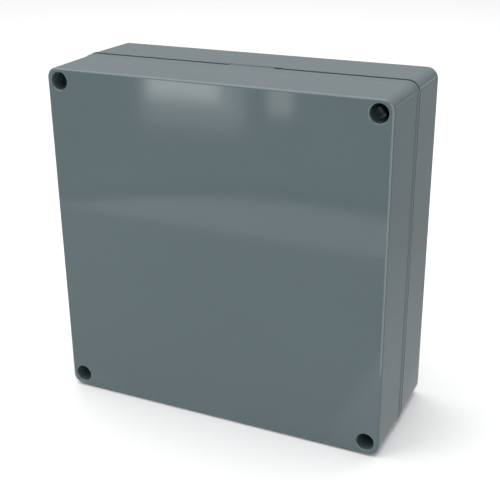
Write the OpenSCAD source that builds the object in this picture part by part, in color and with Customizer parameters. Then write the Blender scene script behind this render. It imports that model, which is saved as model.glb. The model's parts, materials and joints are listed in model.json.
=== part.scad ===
// Square junction box: moulded base and deep lid, rail terminals inside.
// The box stands on its bottom edge: X is its width, +Y points to its back, Z is up.
// Inside place() a piece is drawn flat: x across, y up the box, z from the back face forwards.

/* [Box] */
// Outside width at the seam
box_w = 160; // [150:1:200]
// Outside height at the seam
box_h = 160; // [150:1:200]
// Depth of the base, from the back face to the seam
base_d = 30; // [26:1:40]
// Depth of the lid, from the seam to the front face
lid_d = 32; // [30:1:40]
// Wall thickness of base and lid
wall = 3; // [2.6:0.1:3.4]
// Outside corner radius
corner_r = 5.5; // [5:0.1:7]
// Radius along the front and back edges
edge_r = 1.1; // [0.6:0.1:1.4]
// Visible gap at the seam
seam_gap = 1.2; // [0.4:0.1:1.4]
// How far the lid's sides lean in from the seam to the front
lid_draft = 0.4; // [0.2:0.1:0.5]

/* [Lid screws] */
// Distance of a lid screw from the outside faces of the box
screw_edge = 6.9; // [6.7:0.1:7.5]
// Radius of the deep well that a screw head sits in
well_r = 3.9; // [3.8:0.05:4.2]
// Depth of the well below the front face
well_depth = 22; // [16:1:23]
// Length of a lid screw below its head
screw_len = 16; // [14:1:17]

/* [Mounting] */
// Distance between wall holes across the box
wall_hole_x = 121; // [115:1:123]
// Radius of a wall hole
wall_hole_r = 2.25; // [2:0.05:2.6]
// Length of the mounting rail
rail_len = 130; // [120:1:134]
// Height of the rail's bosses above the floor of the base
rail_boss = 4; // [2:0.5:6]

/* [Terminals] */
// Width that one terminal takes on the rail
pitch = 10.2; // [10:0.1:11]
// Distance of a clamp screw from the middle of the rail
clamp_at = 13.5; // [13:0.1:14]
// Travel of a rising cage
cage_travel = 5; // [3:0.5:5]

/* [Hidden] */
TERMS = ["line1", "line2", "line3", "neutral", "earth"];
SIDES = ["upper", "lower"];
CORNERS = ["top_right", "top_left", "bottom_left", "bottom_right"];
TERM_COLOURS = ["slategray", "slategray", "slategray", "royalblue", "yellowgreen"];
$fn = 48;

grey = [0.42, 0.47, 0.49];
steel = [0.75, 0.76, 0.78];
brass = [0.78, 0.63, 0.35];
nickel = [0.72, 0.70, 0.66];
depth = base_d + lid_d;
// Middles of the corner arcs
arc_x = box_w / 2 - corner_r;
arc_y = box_h / 2 - corner_r;
base_top = base_d - seam_gap / 2;
lid_bottom = base_d + seam_gap / 2;
// Small bead along the seam, proud of the sides
bead_h = 3;
bead_out = 0.35;
base_in = 0.2;
// Pad at the seam on the base's top side: half widths in front and behind, length, thickness
pad_x = 6.7;
pad_front = 12.7;
pad_rear = 4.6;
pad_len = 18;
pad_t = 1.2;
tab_x = 5.2;
tab_half = 10.8;
// Seal path: how far its straight runs lie from the middle, and where it steps round a corner block
seal_x = box_w / 2 - 4.5;
seal_y = box_h / 2 - 4.5;
step_x = wall_hole_x / 2 - 9.5;
step_y = box_h / 2 - 14;
tongue_half = 0.9;
groove_half = 1.3;
rib_half = 2.5;
web_half = 0.6;
shelf_in = 1.2;
shelf_out = 2;
shelf_h = 8;
tongue_h = 4.2;
groove_h = 7.3;
// Lid screws, M4
screw_x = box_w / 2 - screw_edge;
screw_y = box_h / 2 - screw_edge;
m4_r = 2;
m4_hole_r = 2.05;
m4_clear_r = 2.3;
seat_z = depth - well_depth;
washer_h = 0.8;
washer_r = 3.5;
head_r = 3.5;
head_h = 2.8;
mouth_r = 0.5;
pillar_r = 5.6;
insert_r = 2.78;
insert_h = 8;
// Cross recess and rounded rim of every screw head
cross_w = 0.8;
cross_deep = 1.4;
cross_share = 0.55;
rim_r = 0.8;
// Bosses on the floor: round a wall hole, and under the rail
wall_boss_r = 4.2;
wall_boss_h = 2;
rail_boss_r = 4.5;
// Rail, 35 mm top-hat section, and its screws
rail_z = wall + rail_boss;
rail_w = 35;
rail_hat_w = 27;
rail_h = 7.5;
rail_t = 1;
slot_pitch = 36;
slot_len = 25;
slot_w = 5.2;
rail_screw_x = 1.5 * slot_pitch;
rail_screw_r = 1.9;
rail_screw_len = 6.4;
rail_head_r = 3.8;
rail_head_h = 2.6;
// Terminals: heights are counted from the rail's foot
gap = 0.1;
term_w = pitch - gap;
term_mid = term_w / 2 + 0.5;
term_half = 23.8;
foot_low = 3.2;
side_wall = 1;
cage_v = 8;
cage_w = 7.6;
cage_gap = 0.3;
cage_low = 13.3;
cage_floor = 1.6;
wire_h = 6;
bar_t = 1.6;
bar_w = 4.6;
bar_low = cage_low + cage_floor + wire_h;
cage_roof = bar_low + bar_t + 0.3;
cage_roof_t = 3;
chamber_low = cage_low - cage_gap;
chamber_top = cage_roof + cage_roof_t + cage_travel + 2.2;
term_top = chamber_top + 11;
ledge = 1;
clamp_head_r = 3.1;
clamp_head_h = 3;
clamp_bore_r = 3.5;
entry_r = 3;
entry_flare = 0.45;
plate_w = 2;
bracket_w = 9.5;
bracket_top = 34;
row_w = 2 * (bracket_w + gap) + len(TERMS) * pitch + plate_w + gap;
row_start = -row_w / 2;

// Points of an arc about c from angle a0 to a1
function arc(c, r, a0, a1, n = 6) =
    [for (i = [0 : n]) let (a = a0 + (a1 - a0) * i / n) c + r * [cos(a), sin(a)]];

// Closes a half outline that starts and ends on the middle line with its mirror image
function both_sides(p) = concat(p, [for (i = [len(p) - 2 : -1 : 1]) [-p[i].x, p[i].y]]);

// Outlines of the sides: first number is counted outwards from the middle of the corner arc
lid_outline = concat(
    [[0, lid_bottom], [corner_r - 0.2, lid_bottom], [corner_r, lid_bottom + 0.2],
     [corner_r, lid_bottom + bead_h - 0.6], [corner_r - bead_out, lid_bottom + bead_h]],
    arc([corner_r - bead_out - lid_draft - edge_r, depth - edge_r], edge_r, 0, 90),
    [[0, depth]]);
lid_hollow = [[0, lid_bottom - 1], [corner_r - wall, lid_bottom - 1],
    [corner_r - wall - lid_draft, depth - wall - edge_r],
    [corner_r - wall - lid_draft - edge_r, depth - wall], [0, depth - wall]];
base_outline = concat(
    [[0, 0]],
    arc([corner_r - base_in - bead_out - edge_r, edge_r], edge_r, -90, 0),
    [[corner_r - base_in - bead_out / 2, base_top - 2], [corner_r - base_in, base_top - 1.4],
     [corner_r - base_in, base_top - 0.2], [corner_r - base_in - 0.2, base_top], [0, base_top]]);
base_hollow = [[0, wall], [corner_r - wall - edge_r, wall], [corner_r - wall - 0.3, wall + edge_r],
    [corner_r - wall, base_top + 1], [0, base_top + 1]];

module place() {
    translate([0, depth / 2, box_h / 2]) rotate([90, 0, 0]) children();
}

// Sweeps an outline round the four sides and corners and fills the middle
module swept(outline, low, high) {
    for (q = [0 : 3]) {
        along = q % 2 == 0 ? arc_x : arc_y;
        across = q % 2 == 0 ? arc_y : arc_x;
        rotate(90 * q) translate([along, across]) rotate_extrude(angle = 90) polygon(outline);
        rotate(90 * q) translate([along, 0]) rotate([90, 0, 0])
            linear_extrude(2 * across, center = true) polygon(outline);
    }
    translate([-arc_x, -arc_y, low]) cube([2 * arc_x, 2 * arc_y, high - low]);
}

// Children at the four corners, or at the corner with number n
module at_corners(x, y) {
    for (i = [0 : 3]) at_corner(i, x, y) children();
}

module at_corner(n, x, y) {
    translate([n == 0 || n == 3 ? x : -x, n < 2 ? y : -y, 0]) children();
}

module tube(r, low, high) {
    translate([0, 0, low]) cylinder(r = r, h = high - low);
}

module rounded_rect(x, y, r) {
    square([2 * x, 2 * (y - r)], center = true);
    square([2 * (x - r), 2 * y], center = true);
    for (sx = [-1, 1], sy = [-1, 1]) translate([sx * (x - r), sy * (y - r)]) circle(r);
}

// Area inside the seal path, grown by d: it steps in round a block in each corner
module seal_area(d) {
    rounded_rect(seal_x + d, step_y + d, 4 + d);
    rounded_rect(step_x + d, seal_y + d, 4 + d);
}

module seal_ring(inner, outer, low, high) {
    translate([0, 0, low]) linear_extrude(high - low) difference() {
        seal_area(outer);
        seal_area(inner);
    }
}

// Thin wall under the seal path, only where it steps round the corner blocks
module corner_webs(low, high) {
    intersection() {
        seal_ring(-web_half, web_half, low, high);
        at_corners((seal_x + step_x) / 2, (seal_y + step_y) / 2)
            translate([0, 0, (low + high) / 2])
                cube([seal_x - step_x + 2.6, seal_y - step_y + 2.6, high - low + 1], center = true);
    }
}

// Raised pad on the base's top side, with a tab that fills the seam in front of it
module seam_pad() {
    translate([pad_x, box_h / 2 - pad_t, 0]) rotate([-90, 0, 0]) linear_extrude(pad_t)
        polygon([[-pad_front, -base_top], [pad_front, -base_top],
            [pad_rear, pad_len - base_top], [-pad_rear, pad_len - base_top]]);
    translate([tab_x - tab_half, box_h / 2 - pad_t, base_top - 1])
        cube([2 * tab_half, pad_t, seam_gap + 0.9]);
}

module base_box() {
    color(grey) place() difference() {
        union() {
            difference() {
                swept(base_outline, 0, base_top);
                swept(base_hollow, wall, base_top + 1);
            }
            seal_ring(-shelf_in, shelf_out, base_top - shelf_h, base_top);
            seal_ring(-tongue_half, tongue_half, base_top - 1, base_top + tongue_h);
            corner_webs(wall - 1, base_top - 1);
            at_corners(screw_x, screw_y) tube(pillar_r, 1, base_top);
            at_corners(wall_hole_x / 2, screw_y) tube(wall_boss_r, 1, wall + wall_boss_h);
            for (s = [-1, 1]) translate([s * rail_screw_x, 0]) tube(rail_boss_r, 1, rail_z);
            seam_pad();
        }
        at_corners(screw_x, screw_y) tube(insert_r + 0.02, base_top - insert_h - 1, base_top + 1);
        at_corners(wall_hole_x / 2, screw_y) tube(wall_hole_r, -1, wall + wall_boss_h + 1);
        for (s = [-1, 1]) translate([s * rail_screw_x, 0]) tube(rail_screw_r + 0.05, 1.2, rail_z + 1);
    }
}

// Well with a rounded mouth at the front face
module well_cut() {
    rotate_extrude() polygon(concat(
        [[0, seat_z], [well_r, seat_z]],
        arc([well_r + mouth_r, depth - mouth_r], mouth_r, 180, 90),
        [[well_r + mouth_r, depth + 1], [0, depth + 1]]));
}

module lid() {
    color(grey) place() difference() {
        union() {
            difference() {
                swept(lid_outline, lid_bottom, depth);
                swept(lid_hollow, lid_bottom - 1, depth - wall);
            }
            seal_ring(-rib_half, rib_half, lid_bottom, lid_bottom + groove_h + 1.5);
            corner_webs(lid_bottom + groove_h + 1, depth - wall + 1);
            at_corners(screw_x, screw_y) tube(well_r + 2.2, lid_bottom, depth - edge_r - 0.4);
        }
        seal_ring(-groove_half, groove_half, lid_bottom - 1, lid_bottom + groove_h);
        at_corners(screw_x, screw_y) tube(m4_clear_r, lid_bottom - 1, seat_z + 1);
        at_corners(screw_x, screw_y) well_cut();
    }
}

module lid_gasket() {
    low = base_top + tongue_h + 0.3;
    color("dimgray") place()
        seal_ring(-groove_half + 0.1, groove_half - 0.1, low, lid_bottom + groove_h - 0.05);
}

module thread_inserts() {
    color(brass) place() at_corners(screw_x, screw_y) difference() {
        tube(insert_r, base_top - insert_h - 0.1, base_top - 0.1);
        tube(m4_hole_r, base_top - insert_h - 1, base_top + 1);
    }
}

// Cross-recessed pan-head screw: the underside of the head is at z = 0, the head points up
module screw(shank_r, length, r, h) {
    difference() {
        union() {
            tube(shank_r, -length, 0.5);
            rotate_extrude() polygon(concat([[0, 0], [r, 0]],
                arc([r - rim_r, h - rim_r], rim_r, 0, 90, 3), [[0, h]]));
        }
        for (a = [0, 90]) rotate(a) translate([-r * cross_share, -cross_w / 2, h - cross_deep])
            cube([2 * r * cross_share, cross_w, cross_deep + 1]);
    }
}

module lid_screw(n) {
    color(steel) place() at_corner(n, screw_x, screw_y)
        translate([0, 0, seat_z + washer_h + gap]) screw(m4_r, screw_len + washer_h, head_r, head_h);
}

module screw_washer(n) {
    color("black") place() at_corner(n, screw_x, screw_y) difference() {
        tube(washer_r, seat_z + gap / 2, seat_z + washer_h);
        tube(m4_hole_r, seat_z - 1, seat_z + washer_h + 1);
    }
}

module slot(length, w, h) {
    linear_extrude(h, center = true) {
        square([length - w, w], center = true);
        for (s = [-1, 1]) translate([s * (length - w) / 2, 0]) circle(w / 2);
    }
}

// Half of the top-hat section: [distance from the middle, height above the foot]
rail_half = [[0, 0], [rail_hat_w / 2 - 0.6, 0], [rail_hat_w / 2, 0.6],
    [rail_hat_w / 2, rail_h - rail_t], [rail_w / 2, rail_h - rail_t], [rail_w / 2, rail_h],
    [rail_hat_w / 2 - rail_t + 0.6, rail_h], [rail_hat_w / 2 - rail_t, rail_h - 0.6],
    [rail_hat_w / 2 - rail_t, rail_t], [0, rail_t]];

module mounting_rail() {
    color(steel) place() translate([0, 0, rail_z]) difference() {
        rotate([90, 0, 90]) linear_extrude(rail_len, center = true) polygon(both_sides(rail_half));
        for (i = [-1.5 : 1.5]) translate([i * slot_pitch, 0, 0]) slot(slot_len, slot_w, 4);
    }
}

module rail_screws() {
    color(steel) place() for (s = [-1, 1])
        translate([s * rail_screw_x, 0, rail_z + rail_t + 0.02]) screw(rail_screw_r, rail_screw_len, rail_head_r, rail_head_h);
}

// Outline of a terminal: it sits on the rail's flanges and hooks under both of them
module term_outline(top, half) {
    hook = rail_w / 2 - 1.2;
    lip = rail_w / 2 + 0.2;
    side = [[0, rail_h + gap], [lip, rail_h + gap], [lip, rail_h - rail_t - gap - 0.05],
        [hook, rail_h - rail_t - gap - 0.05], [hook, foot_low], [half - 2.8, foot_low],
        [half - 1, foot_low + 2], [half, foot_low + 6], [half, top - 13],
        [half - 3, top - 9], [half - 4.2, top], [0, top]];
    difference() {
        polygon(both_sides(side));
        translate([rail_w / 2 - 7, rail_h + 1.8]) square([11, 0.9]);
    }
}

// Puts children with their outline upright across the rail, x counted along the rail
module on_rail(x) {
    place() translate([row_start + x, 0, rail_z]) children();
}

module upright(w) {
    rotate([90, 0, 90]) linear_extrude(w) children();
}

function term_x(i) = bracket_w + gap + i * pitch;

module housing(i) {
    chamber = cage_v / 2 + cage_gap;
    color(TERM_COLOURS[i]) on_rail(term_x(i)) difference() {
        upright(term_w) term_outline(term_top, term_half);
        translate([side_wall, 0, 0]) upright(term_w) {
            for (s = [-1, 1]) translate([s * clamp_at - chamber, chamber_low])
                square([2 * chamber, chamber_top - chamber_low]);
            translate([-3, bar_low + bar_t + 2]) square([6, term_top]);
        }
        translate([term_mid - bar_w / 2 - 0.15, -clamp_at, bar_low - gap])
            cube([term_w, 2 * clamp_at, bar_t + 2 * gap]);
        for (s = [-1, 1]) {
            translate([term_mid, s * clamp_at]) {
                tube(clamp_bore_r, chamber_top + ledge, term_top + 1);
                tube(m4_clear_r, chamber_top - 1, term_top);
            }
            translate([term_mid, s * clamp_at, bar_low - wire_h / 2]) rotate([-90 * s, 0, 0]) {
                tube(entry_r, 1, term_half);
                translate([0, 0, term_half - clamp_at - 2])
                    cylinder(r1 = entry_r, r2 = entry_r + 3 * entry_flare, h = 3);
            }
        }
    }
}

module current_bar(i) {
    bar_l = 2 * (clamp_at + cage_v / 2);
    color(nickel) on_rail(term_x(i)) translate([term_mid - bar_w / 2, -bar_l / 2, bar_low])
        cube([bar_w, bar_l, bar_t]);
}

module cage(i, s) {
    color(nickel) on_rail(term_x(i)) translate([term_mid, s * clamp_at, 0]) difference() {
        translate([-cage_w / 2, -cage_v / 2, cage_low])
            cube([cage_w, cage_v, cage_roof + cage_roof_t - cage_low]);
        translate([-bar_w / 2 - cage_gap, -cage_v, cage_low + cage_floor])
            cube([bar_w + 2 * cage_gap, 2 * cage_v, cage_roof - cage_low - cage_floor]);
        tube(m4_hole_r, cage_roof - 1, cage_roof + cage_roof_t + 1);
    }
}

module clamp_screw(i, s) {
    under_head = chamber_top + ledge + 0.05;
    color(steel) on_rail(term_x(i)) translate([term_mid, s * clamp_at, under_head])
        screw(m4_r, under_head - bar_low - bar_t - 0.5, clamp_head_r, clamp_head_h);
}

module end_plate() {
    color("slategray") on_rail(term_x(len(TERMS))) upright(plate_w) term_outline(term_top, term_half);
}

module end_bracket(x) {
    color("dimgray") on_rail(x) difference() {
        upright(bracket_w) term_outline(bracket_top, term_half - 1.5);
        translate([1.5, 0, 0]) upright(bracket_w - 3) {
            translate([-15, bracket_top - 6]) square([9, 7]);
            translate([6, bracket_top - 6]) square([9, 7]);
        }
    }
}

base_box();
lid();
lid_gasket();
thread_inserts();
for (n = [0 : 3]) {
    lid_screw(n);
    screw_washer(n);
}
mounting_rail();
rail_screws();
end_plate();
end_bracket(0);  // end_bracket_left
end_bracket(row_w - bracket_w);  // end_bracket_right
for (i = [0 : len(TERMS) - 1]) {
    housing(i);
    current_bar(i);
    for (k = [0, 1]) {
        name = str(TERMS[i], "_", SIDES[k]);
        cage(i, 1 - 2 * k);
        clamp_screw(i, 1 - 2 * k);
    }
}
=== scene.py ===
"""Looks of a square moulded junction box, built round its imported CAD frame.

The shell, the seal, the screws and the rail terminals are drawn again as finished meshes, each
riding on the CAD body that it belongs to, and every piece gets a procedural material.
"""

from __future__ import annotations

import json
import logging
import math
from dataclasses import dataclass, field
from enum import Enum
from typing import Any, Iterable, Sequence

import bmesh
import bpy
from bpy.types import Material, Node, NodeSocket, NodeTree, Object
from mathutils import Matrix, Vector

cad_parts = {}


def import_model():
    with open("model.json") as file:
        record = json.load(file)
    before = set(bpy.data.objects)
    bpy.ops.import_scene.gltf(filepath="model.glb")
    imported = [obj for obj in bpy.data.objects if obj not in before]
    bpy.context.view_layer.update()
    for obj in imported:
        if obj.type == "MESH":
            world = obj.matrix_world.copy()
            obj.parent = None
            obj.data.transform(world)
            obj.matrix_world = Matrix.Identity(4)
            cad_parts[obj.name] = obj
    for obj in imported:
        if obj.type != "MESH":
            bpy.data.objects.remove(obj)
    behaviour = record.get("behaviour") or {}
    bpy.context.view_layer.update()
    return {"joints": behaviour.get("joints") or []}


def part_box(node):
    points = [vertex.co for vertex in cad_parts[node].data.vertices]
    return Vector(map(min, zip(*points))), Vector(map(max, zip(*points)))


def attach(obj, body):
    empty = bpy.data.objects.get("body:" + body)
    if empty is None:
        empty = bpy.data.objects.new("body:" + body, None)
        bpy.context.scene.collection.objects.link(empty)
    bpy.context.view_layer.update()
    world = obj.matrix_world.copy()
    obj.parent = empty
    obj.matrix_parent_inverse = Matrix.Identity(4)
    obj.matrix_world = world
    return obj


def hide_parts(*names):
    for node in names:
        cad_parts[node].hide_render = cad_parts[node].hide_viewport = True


LOG = logging.getLogger("junction_box")
MM = 0.001
# How far the brass inserts lie below the base's rim, in millimetres
INSERT_BELOW_RIM = 0.1
# Height of a thread's ridge as a share of its pitch
THREAD_DEPTH = 0.46
# From drawing millimetres to metres, and back
TO_METRES = Matrix.Scale(MM, 4)
TO_MM = Matrix.Scale(1 / MM, 4)
Point = tuple[float, float]
Outline = list[Point]


# ---------------------------------------------------------------- drawing in millimetres


def arc(centre: Point, radius: float, start: float, end: float, steps: int = 10) -> Outline:
    """Points along an arc.

    Args:
        centre: Middle of the arc.
        radius: Its radius.
        start: Angle of the first point, in degrees.
        end: Angle of the last point, in degrees.
        steps: How many chords it is drawn with.

    Returns:
        The points, both ends included.
    """
    angles = [math.radians(start + (end - start) * i / steps) for i in range(steps + 1)]
    return [(centre[0] + radius * math.cos(a), centre[1] + radius * math.sin(a)) for a in angles]


def rounded_square(half_x: float, half_y: float, radius: float, steps: int = 12) -> Outline:
    """A rectangle with round corners, counter-clockwise, about the origin.

    Args:
        half_x: Half of its width.
        half_y: Half of its height.
        radius: Radius of its corners.
        steps: Chords for each corner.

    Returns:
        The outline.
    """
    x, y = half_x - radius, half_y - radius
    corners = [((x, y), 0), ((-x, y), 90), ((-x, -y), 180), ((x, -y), 270)]
    return [p for c, a in corners for p in arc(c, radius, a, a + 90, steps)]


def rectangle(middle: float, half: float, low: float, high: float) -> Outline:
    """The corners of a rectangle, counter-clockwise from its lower left one."""
    return [(middle - half, low), (middle + half, low), (middle + half, high), (middle - half, high)]


def both_sides(half: Outline) -> Outline:
    """Closes a half outline that starts and ends on the middle line with its mirror image."""
    return half + [(-x, y) for x, y in half[-2:0:-1]]


def round_corners(outline: Outline, radius: float, steps: int = 4) -> Outline:
    """Rounds every corner of an outline.

    Args:
        outline: Corner points in order.
        radius: Wanted radius; a corner with short sides gets less.
        steps: Chords for each corner.

    Returns:
        The rounded outline.
    """
    made: Outline = []
    count = len(outline)
    for i, here in enumerate(outline):
        before, after = Vector(outline[i - 1]), Vector(outline[(i + 1) % count])
        corner = Vector(here)
        back, on = before - corner, after - corner
        half_angle = back.angle(on) / 2
        if half_angle > math.radians(88):
            made.append(here)
            continue
        reach = min(radius / math.tan(half_angle), 0.45 * back.length, 0.45 * on.length)
        first, last = corner + back.normalized() * reach, corner + on.normalized() * reach
        for k in range(steps + 1):
            t = k / steps
            p = first * (1 - t) ** 2 + corner * 2 * t * (1 - t) + last * t * t
            made.append((p.x, p.y))
    return made


def add_object(name: str, data: Any) -> Object:
    """Makes an object for a mesh, a light or a camera and puts it into the scene.

    Args:
        name: The object's name.
        data: What it shows.

    Returns:
        The object.
    """
    made = bpy.data.objects.new(name, data)
    bpy.context.scene.collection.objects.link(made)
    return made


class Axis(Enum):
    """The direction in the box's own flat frame that a drawn solid is extruded along."""

    FORWARD = "forward"
    ACROSS = "across"
    UP = "up"


@dataclass(frozen=True)
class Place:
    """Where the flat drawing frame lies: x across, v up the box, h from the back face forwards."""

    back_y: float
    middle_z: float

    def matrix(self) -> Matrix:
        """Turns drawing millimetres into the frame's metres."""
        rows = ((MM, 0, 0, 0), (0, 0, -MM, self.back_y), (0, MM, 0, self.middle_z), (0, 0, 0, 1))
        return Matrix(rows)


@dataclass
class Solid:
    """A closed mesh being drawn, in millimetres in the flat drawing frame."""

    points: list[Vector] = field(default_factory=list)
    faces: list[tuple[int, ...]] = field(default_factory=list)

    def loft(self, rings: Sequence[Sequence[Vector]]) -> "Solid":
        """Adds a skin through rings of equal count and closes both ends.

        Args:
            rings: The rings, in order.

        Returns:
            The solid itself.
        """
        first, count = len(self.points), len(rings[0])
        for ring in rings:
            self.points.extend(ring)
        for r in range(len(rings) - 1):
            low, high = first + r * count, first + (r + 1) * count
            for i in range(count):
                j = (i + 1) % count
                self.faces.append((low + i, low + j, high + j, high + i))
        last = first + (len(rings) - 1) * count
        self.faces.append(tuple(range(first + count - 1, first - 1, -1)))
        self.faces.append(tuple(range(last, last + count)))
        return self

    def stack(self, layers: Sequence[tuple[Outline, float]]) -> "Solid":
        """Adds a solid through outlines at rising heights."""
        return self.loft([[Vector((x, v, h)) for x, v in outline] for outline, h in layers])

    def prism(self, outline: Outline, low: float, high: float, axis: Axis = Axis.FORWARD) -> "Solid":
        """Adds an extruded outline.

        Args:
            outline: Points counter-clockwise: (x, v) for FORWARD, (v, h) for ACROSS, (x, h) for UP.
            low: Where it starts along the axis.
            high: Where it ends.
            axis: Direction of the extrusion.

        Returns:
            The solid itself.
        """
        place = {
            Axis.FORWARD: lambda a, b, c: Vector((a, b, c)),
            Axis.ACROSS: lambda a, b, c: Vector((c, a, b)),
            Axis.UP: lambda a, b, c: Vector((a, c, b)),
        }[axis]
        return self.loft([[place(a, b, c) for a, b in outline] for c in (low, high)])

    def ring(self, outer: Outline, inner: Outline, low: float, high: float) -> "Solid":
        """Adds a wall of even height between two outlines with the same number of points.

        Args:
            outer: Outline of its outer side.
            inner: Outline of its inner side.
            low: Where it starts along h.
            high: Where it ends.

        Returns:
            The solid itself.
        """
        first, count = len(self.points), len(outer)
        for outline, h in ((outer, low), (outer, high), (inner, high), (inner, low)):
            self.points.extend(Vector((x, v, h)) for x, v in outline)
        for r in range(4):
            a, b = first + r * count, first + (r + 1) % 4 * count
            for i in range(count):
                j = (i + 1) % count
                self.faces.append((a + i, a + j, b + j, b + i))
        return self

    def lathe(self, profile: Outline, at: Point = (0, 0), segments: int = 64) -> "Solid":
        """Adds a turned solid about a line along h.

        Args:
            profile: (radius, h) pairs; both ends are closed with a flat disc.
            at: The line's place, (x, v).
            segments: Facets round the circle.

        Returns:
            The solid itself.
        """
        turns = [2 * math.pi * i / segments for i in range(segments)]
        rings = [
            [Vector((at[0] + r * math.cos(t), at[1] + r * math.sin(t), h)) for t in turns]
            for r, h in profile
        ]
        return self.loft(rings)

    def rod(self, radius: float, low: float, high: float, at: Point = (0, 0), segments: int = 48) -> "Solid":
        """Adds a plain round rod along h."""
        return self.lathe([(radius, low), (radius, high)], at, segments)

    def box(self, low: Sequence[float], high: Sequence[float]) -> "Solid":
        """Adds a block between two corners."""
        flat = [(low[0], low[1]), (high[0], low[1]), (high[0], high[1]), (low[0], high[1])]
        return self.prism(flat, low[2], high[2])

    def moved(self, matrix: Matrix) -> "Solid":
        """Moves everything drawn so far."""
        self.points = [matrix @ p for p in self.points]
        return self

    def to_object(self, name: str, place: Matrix) -> Object:
        """Makes the mesh object with its faces pointing outwards.

        Args:
            name: The object's name.
            place: Matrix from drawing millimetres to metres.

        Returns:
            The object.
        """
        mesh = bpy.data.meshes.new(name)
        mesh.from_pydata([place @ p for p in self.points], [], self.faces)
        work = bmesh.new()
        work.from_mesh(mesh)
        bmesh.ops.recalc_face_normals(work, faces=work.faces)
        work.to_mesh(mesh)
        work.free()
        return add_object(name, mesh)


class Cut(Enum):
    """How a tool solid is combined with the piece."""

    ADD = "UNION"
    TAKE = "DIFFERENCE"


@dataclass
class Tools:
    """Solids to add to a piece or to take away from it, in order."""

    steps: list[tuple[Cut, Solid]] = field(default_factory=list)

    def add(self, *solids: Solid) -> None:
        """Adds solids to the piece."""
        self.steps += [(Cut.ADD, solid) for solid in solids]

    def take(self, *solids: Solid) -> None:
        """Takes solids away from the piece."""
        self.steps += [(Cut.TAKE, solid) for solid in solids]


def plain_mesh(obj: Object) -> Object:
    """Replaces an object's mesh with its evaluated one and drops the modifiers.

    Args:
        obj: The object.

    Returns:
        The same object.
    """
    bpy.context.view_layer.update()
    graph = bpy.context.evaluated_depsgraph_get()
    mesh = bpy.data.meshes.new_from_object(obj.evaluated_get(graph), depsgraph=graph)
    obj.modifiers.clear()
    old = obj.data
    obj.data = mesh
    mesh.name = obj.name
    bpy.data.meshes.remove(old)
    return obj


def discard(objects: Iterable[Object]) -> None:
    """Removes helper objects and their meshes.

    Args:
        objects: The helpers.
    """
    for obj in objects:
        mesh = obj.data
        bpy.data.objects.remove(obj)
        if mesh is not None and mesh.users == 0:
            bpy.data.meshes.remove(mesh)


def carve(name: str, body: Solid, tools: Tools, place: Matrix) -> Object:
    """Adds and takes away solids, one after the other.

    Args:
        name: Name of the finished piece.
        body: The solid to start from.
        tools: What is added or taken away, in order.
        place: Matrix from drawing millimetres to metres.

    Returns:
        One plain mesh object.
    """
    piece = body.to_object(name, place)
    helpers = []
    for i, (cut, tool) in enumerate(tools.steps):
        helper = tool.to_object(f"{name}_tool_{i}", place)
        helpers.append(helper)
        modifier = piece.modifiers.new(f"cut_{i}", "BOOLEAN")
        modifier.operation = cut.value
        modifier.solver = "MANIFOLD"
        modifier.object = helper
    plain_mesh(piece)
    discard(helpers)
    return piece


def smooth(piece: Object, angle: float = 32, bevel: float = 0.0) -> Object:
    """Cleans a mesh and shades it: round where it bends gently, crisp at its edges.

    Args:
        piece: The mesh object.
        angle: Edges sharper than this, in degrees, stay crisp.
        bevel: Width in millimetres of a small round along sharp edges, or 0 for none.

    Returns:
        The piece.
    """
    work = bmesh.new()
    work.from_mesh(piece.data)
    bmesh.ops.remove_doubles(work, verts=work.verts, dist=1e-6)
    bmesh.ops.dissolve_degenerate(work, edges=work.edges, dist=1e-6)
    work.to_mesh(piece.data)
    work.free()
    if bevel:
        rounding = piece.modifiers.new("edge_round", "BEVEL")
        rounding.width = bevel * MM
        rounding.segments = 2
        rounding.limit_method = "ANGLE"
        rounding.angle_limit = math.radians(40)
        rounding.use_clamp_overlap = True
        plain_mesh(piece)
    piece.data.shade_smooth()
    piece.data.set_sharp_from_angle(angle=math.radians(angle))
    weighting = piece.modifiers.new("weighted_normals", "WEIGHTED_NORMAL")
    weighting.keep_sharp = True
    return piece


# ---------------------------------------------------------------- materials


def linear(code: str) -> tuple[float, float, float, float]:
    """Turns an sRGB hex code such as "#7a858a" into a linear colour.

    Args:
        code: The hex code.

    Returns:
        Red, green, blue and alpha.
    """
    parts = [int(code[i : i + 2], 16) / 255 for i in (1, 3, 5)]
    red, green, blue = (c / 12.92 if c <= 0.04045 else ((c + 0.055) / 1.055) ** 2.4 for c in parts)
    return (red, green, blue, 1.0)


def add_node(
    tree: NodeTree,
    kind: str,
    settings: dict[str, Any] | None = None,
    inputs: dict[Any, Any] | None = None,
) -> Node:
    """Adds a node with its settings and links.

    Args:
        tree: Shader or geometry tree.
        kind: The node's type name.
        settings: Attribute values, such as an operation.
        inputs: By socket name or number: a value, or an output socket to link from.

    Returns:
        The node.
    """
    node = tree.nodes.new(kind)
    for key, value in (settings or {}).items():
        setattr(node, key, value)
    for key, value in (inputs or {}).items():
        socket = node.inputs[key]
        if isinstance(value, NodeSocket):
            tree.links.new(value, socket)
        else:
            socket.default_value = value
    return node


def wire(
    tree: NodeTree,
    kind: str,
    settings: dict[str, Any] | None = None,
    inputs: dict[Any, Any] | None = None,
    output: int | str = 0,
) -> NodeSocket:
    """Adds a node as add_node does and hands out one of its outputs."""
    return add_node(tree, kind, settings, inputs).outputs[output]


def calc(tree: NodeTree, operation: str, *values: Any) -> NodeSocket:
    """Adds a Math node over values or sockets and hands out its result."""
    return wire(tree, "ShaderNodeMath", {"operation": operation}, dict(enumerate(values)))


def noise(
    tree: NodeTree, place: NodeSocket, size: float, detail: float = 2.0, rough: float = 0.5
) -> NodeSocket:
    """Adds a noise with features of a size in millimetres and hands out its value."""
    inputs = {"Vector": place, "Scale": 1 / (size * MM), "Detail": detail, "Roughness": rough}
    return wire(tree, "ShaderNodeTexNoise", inputs=inputs)


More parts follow.
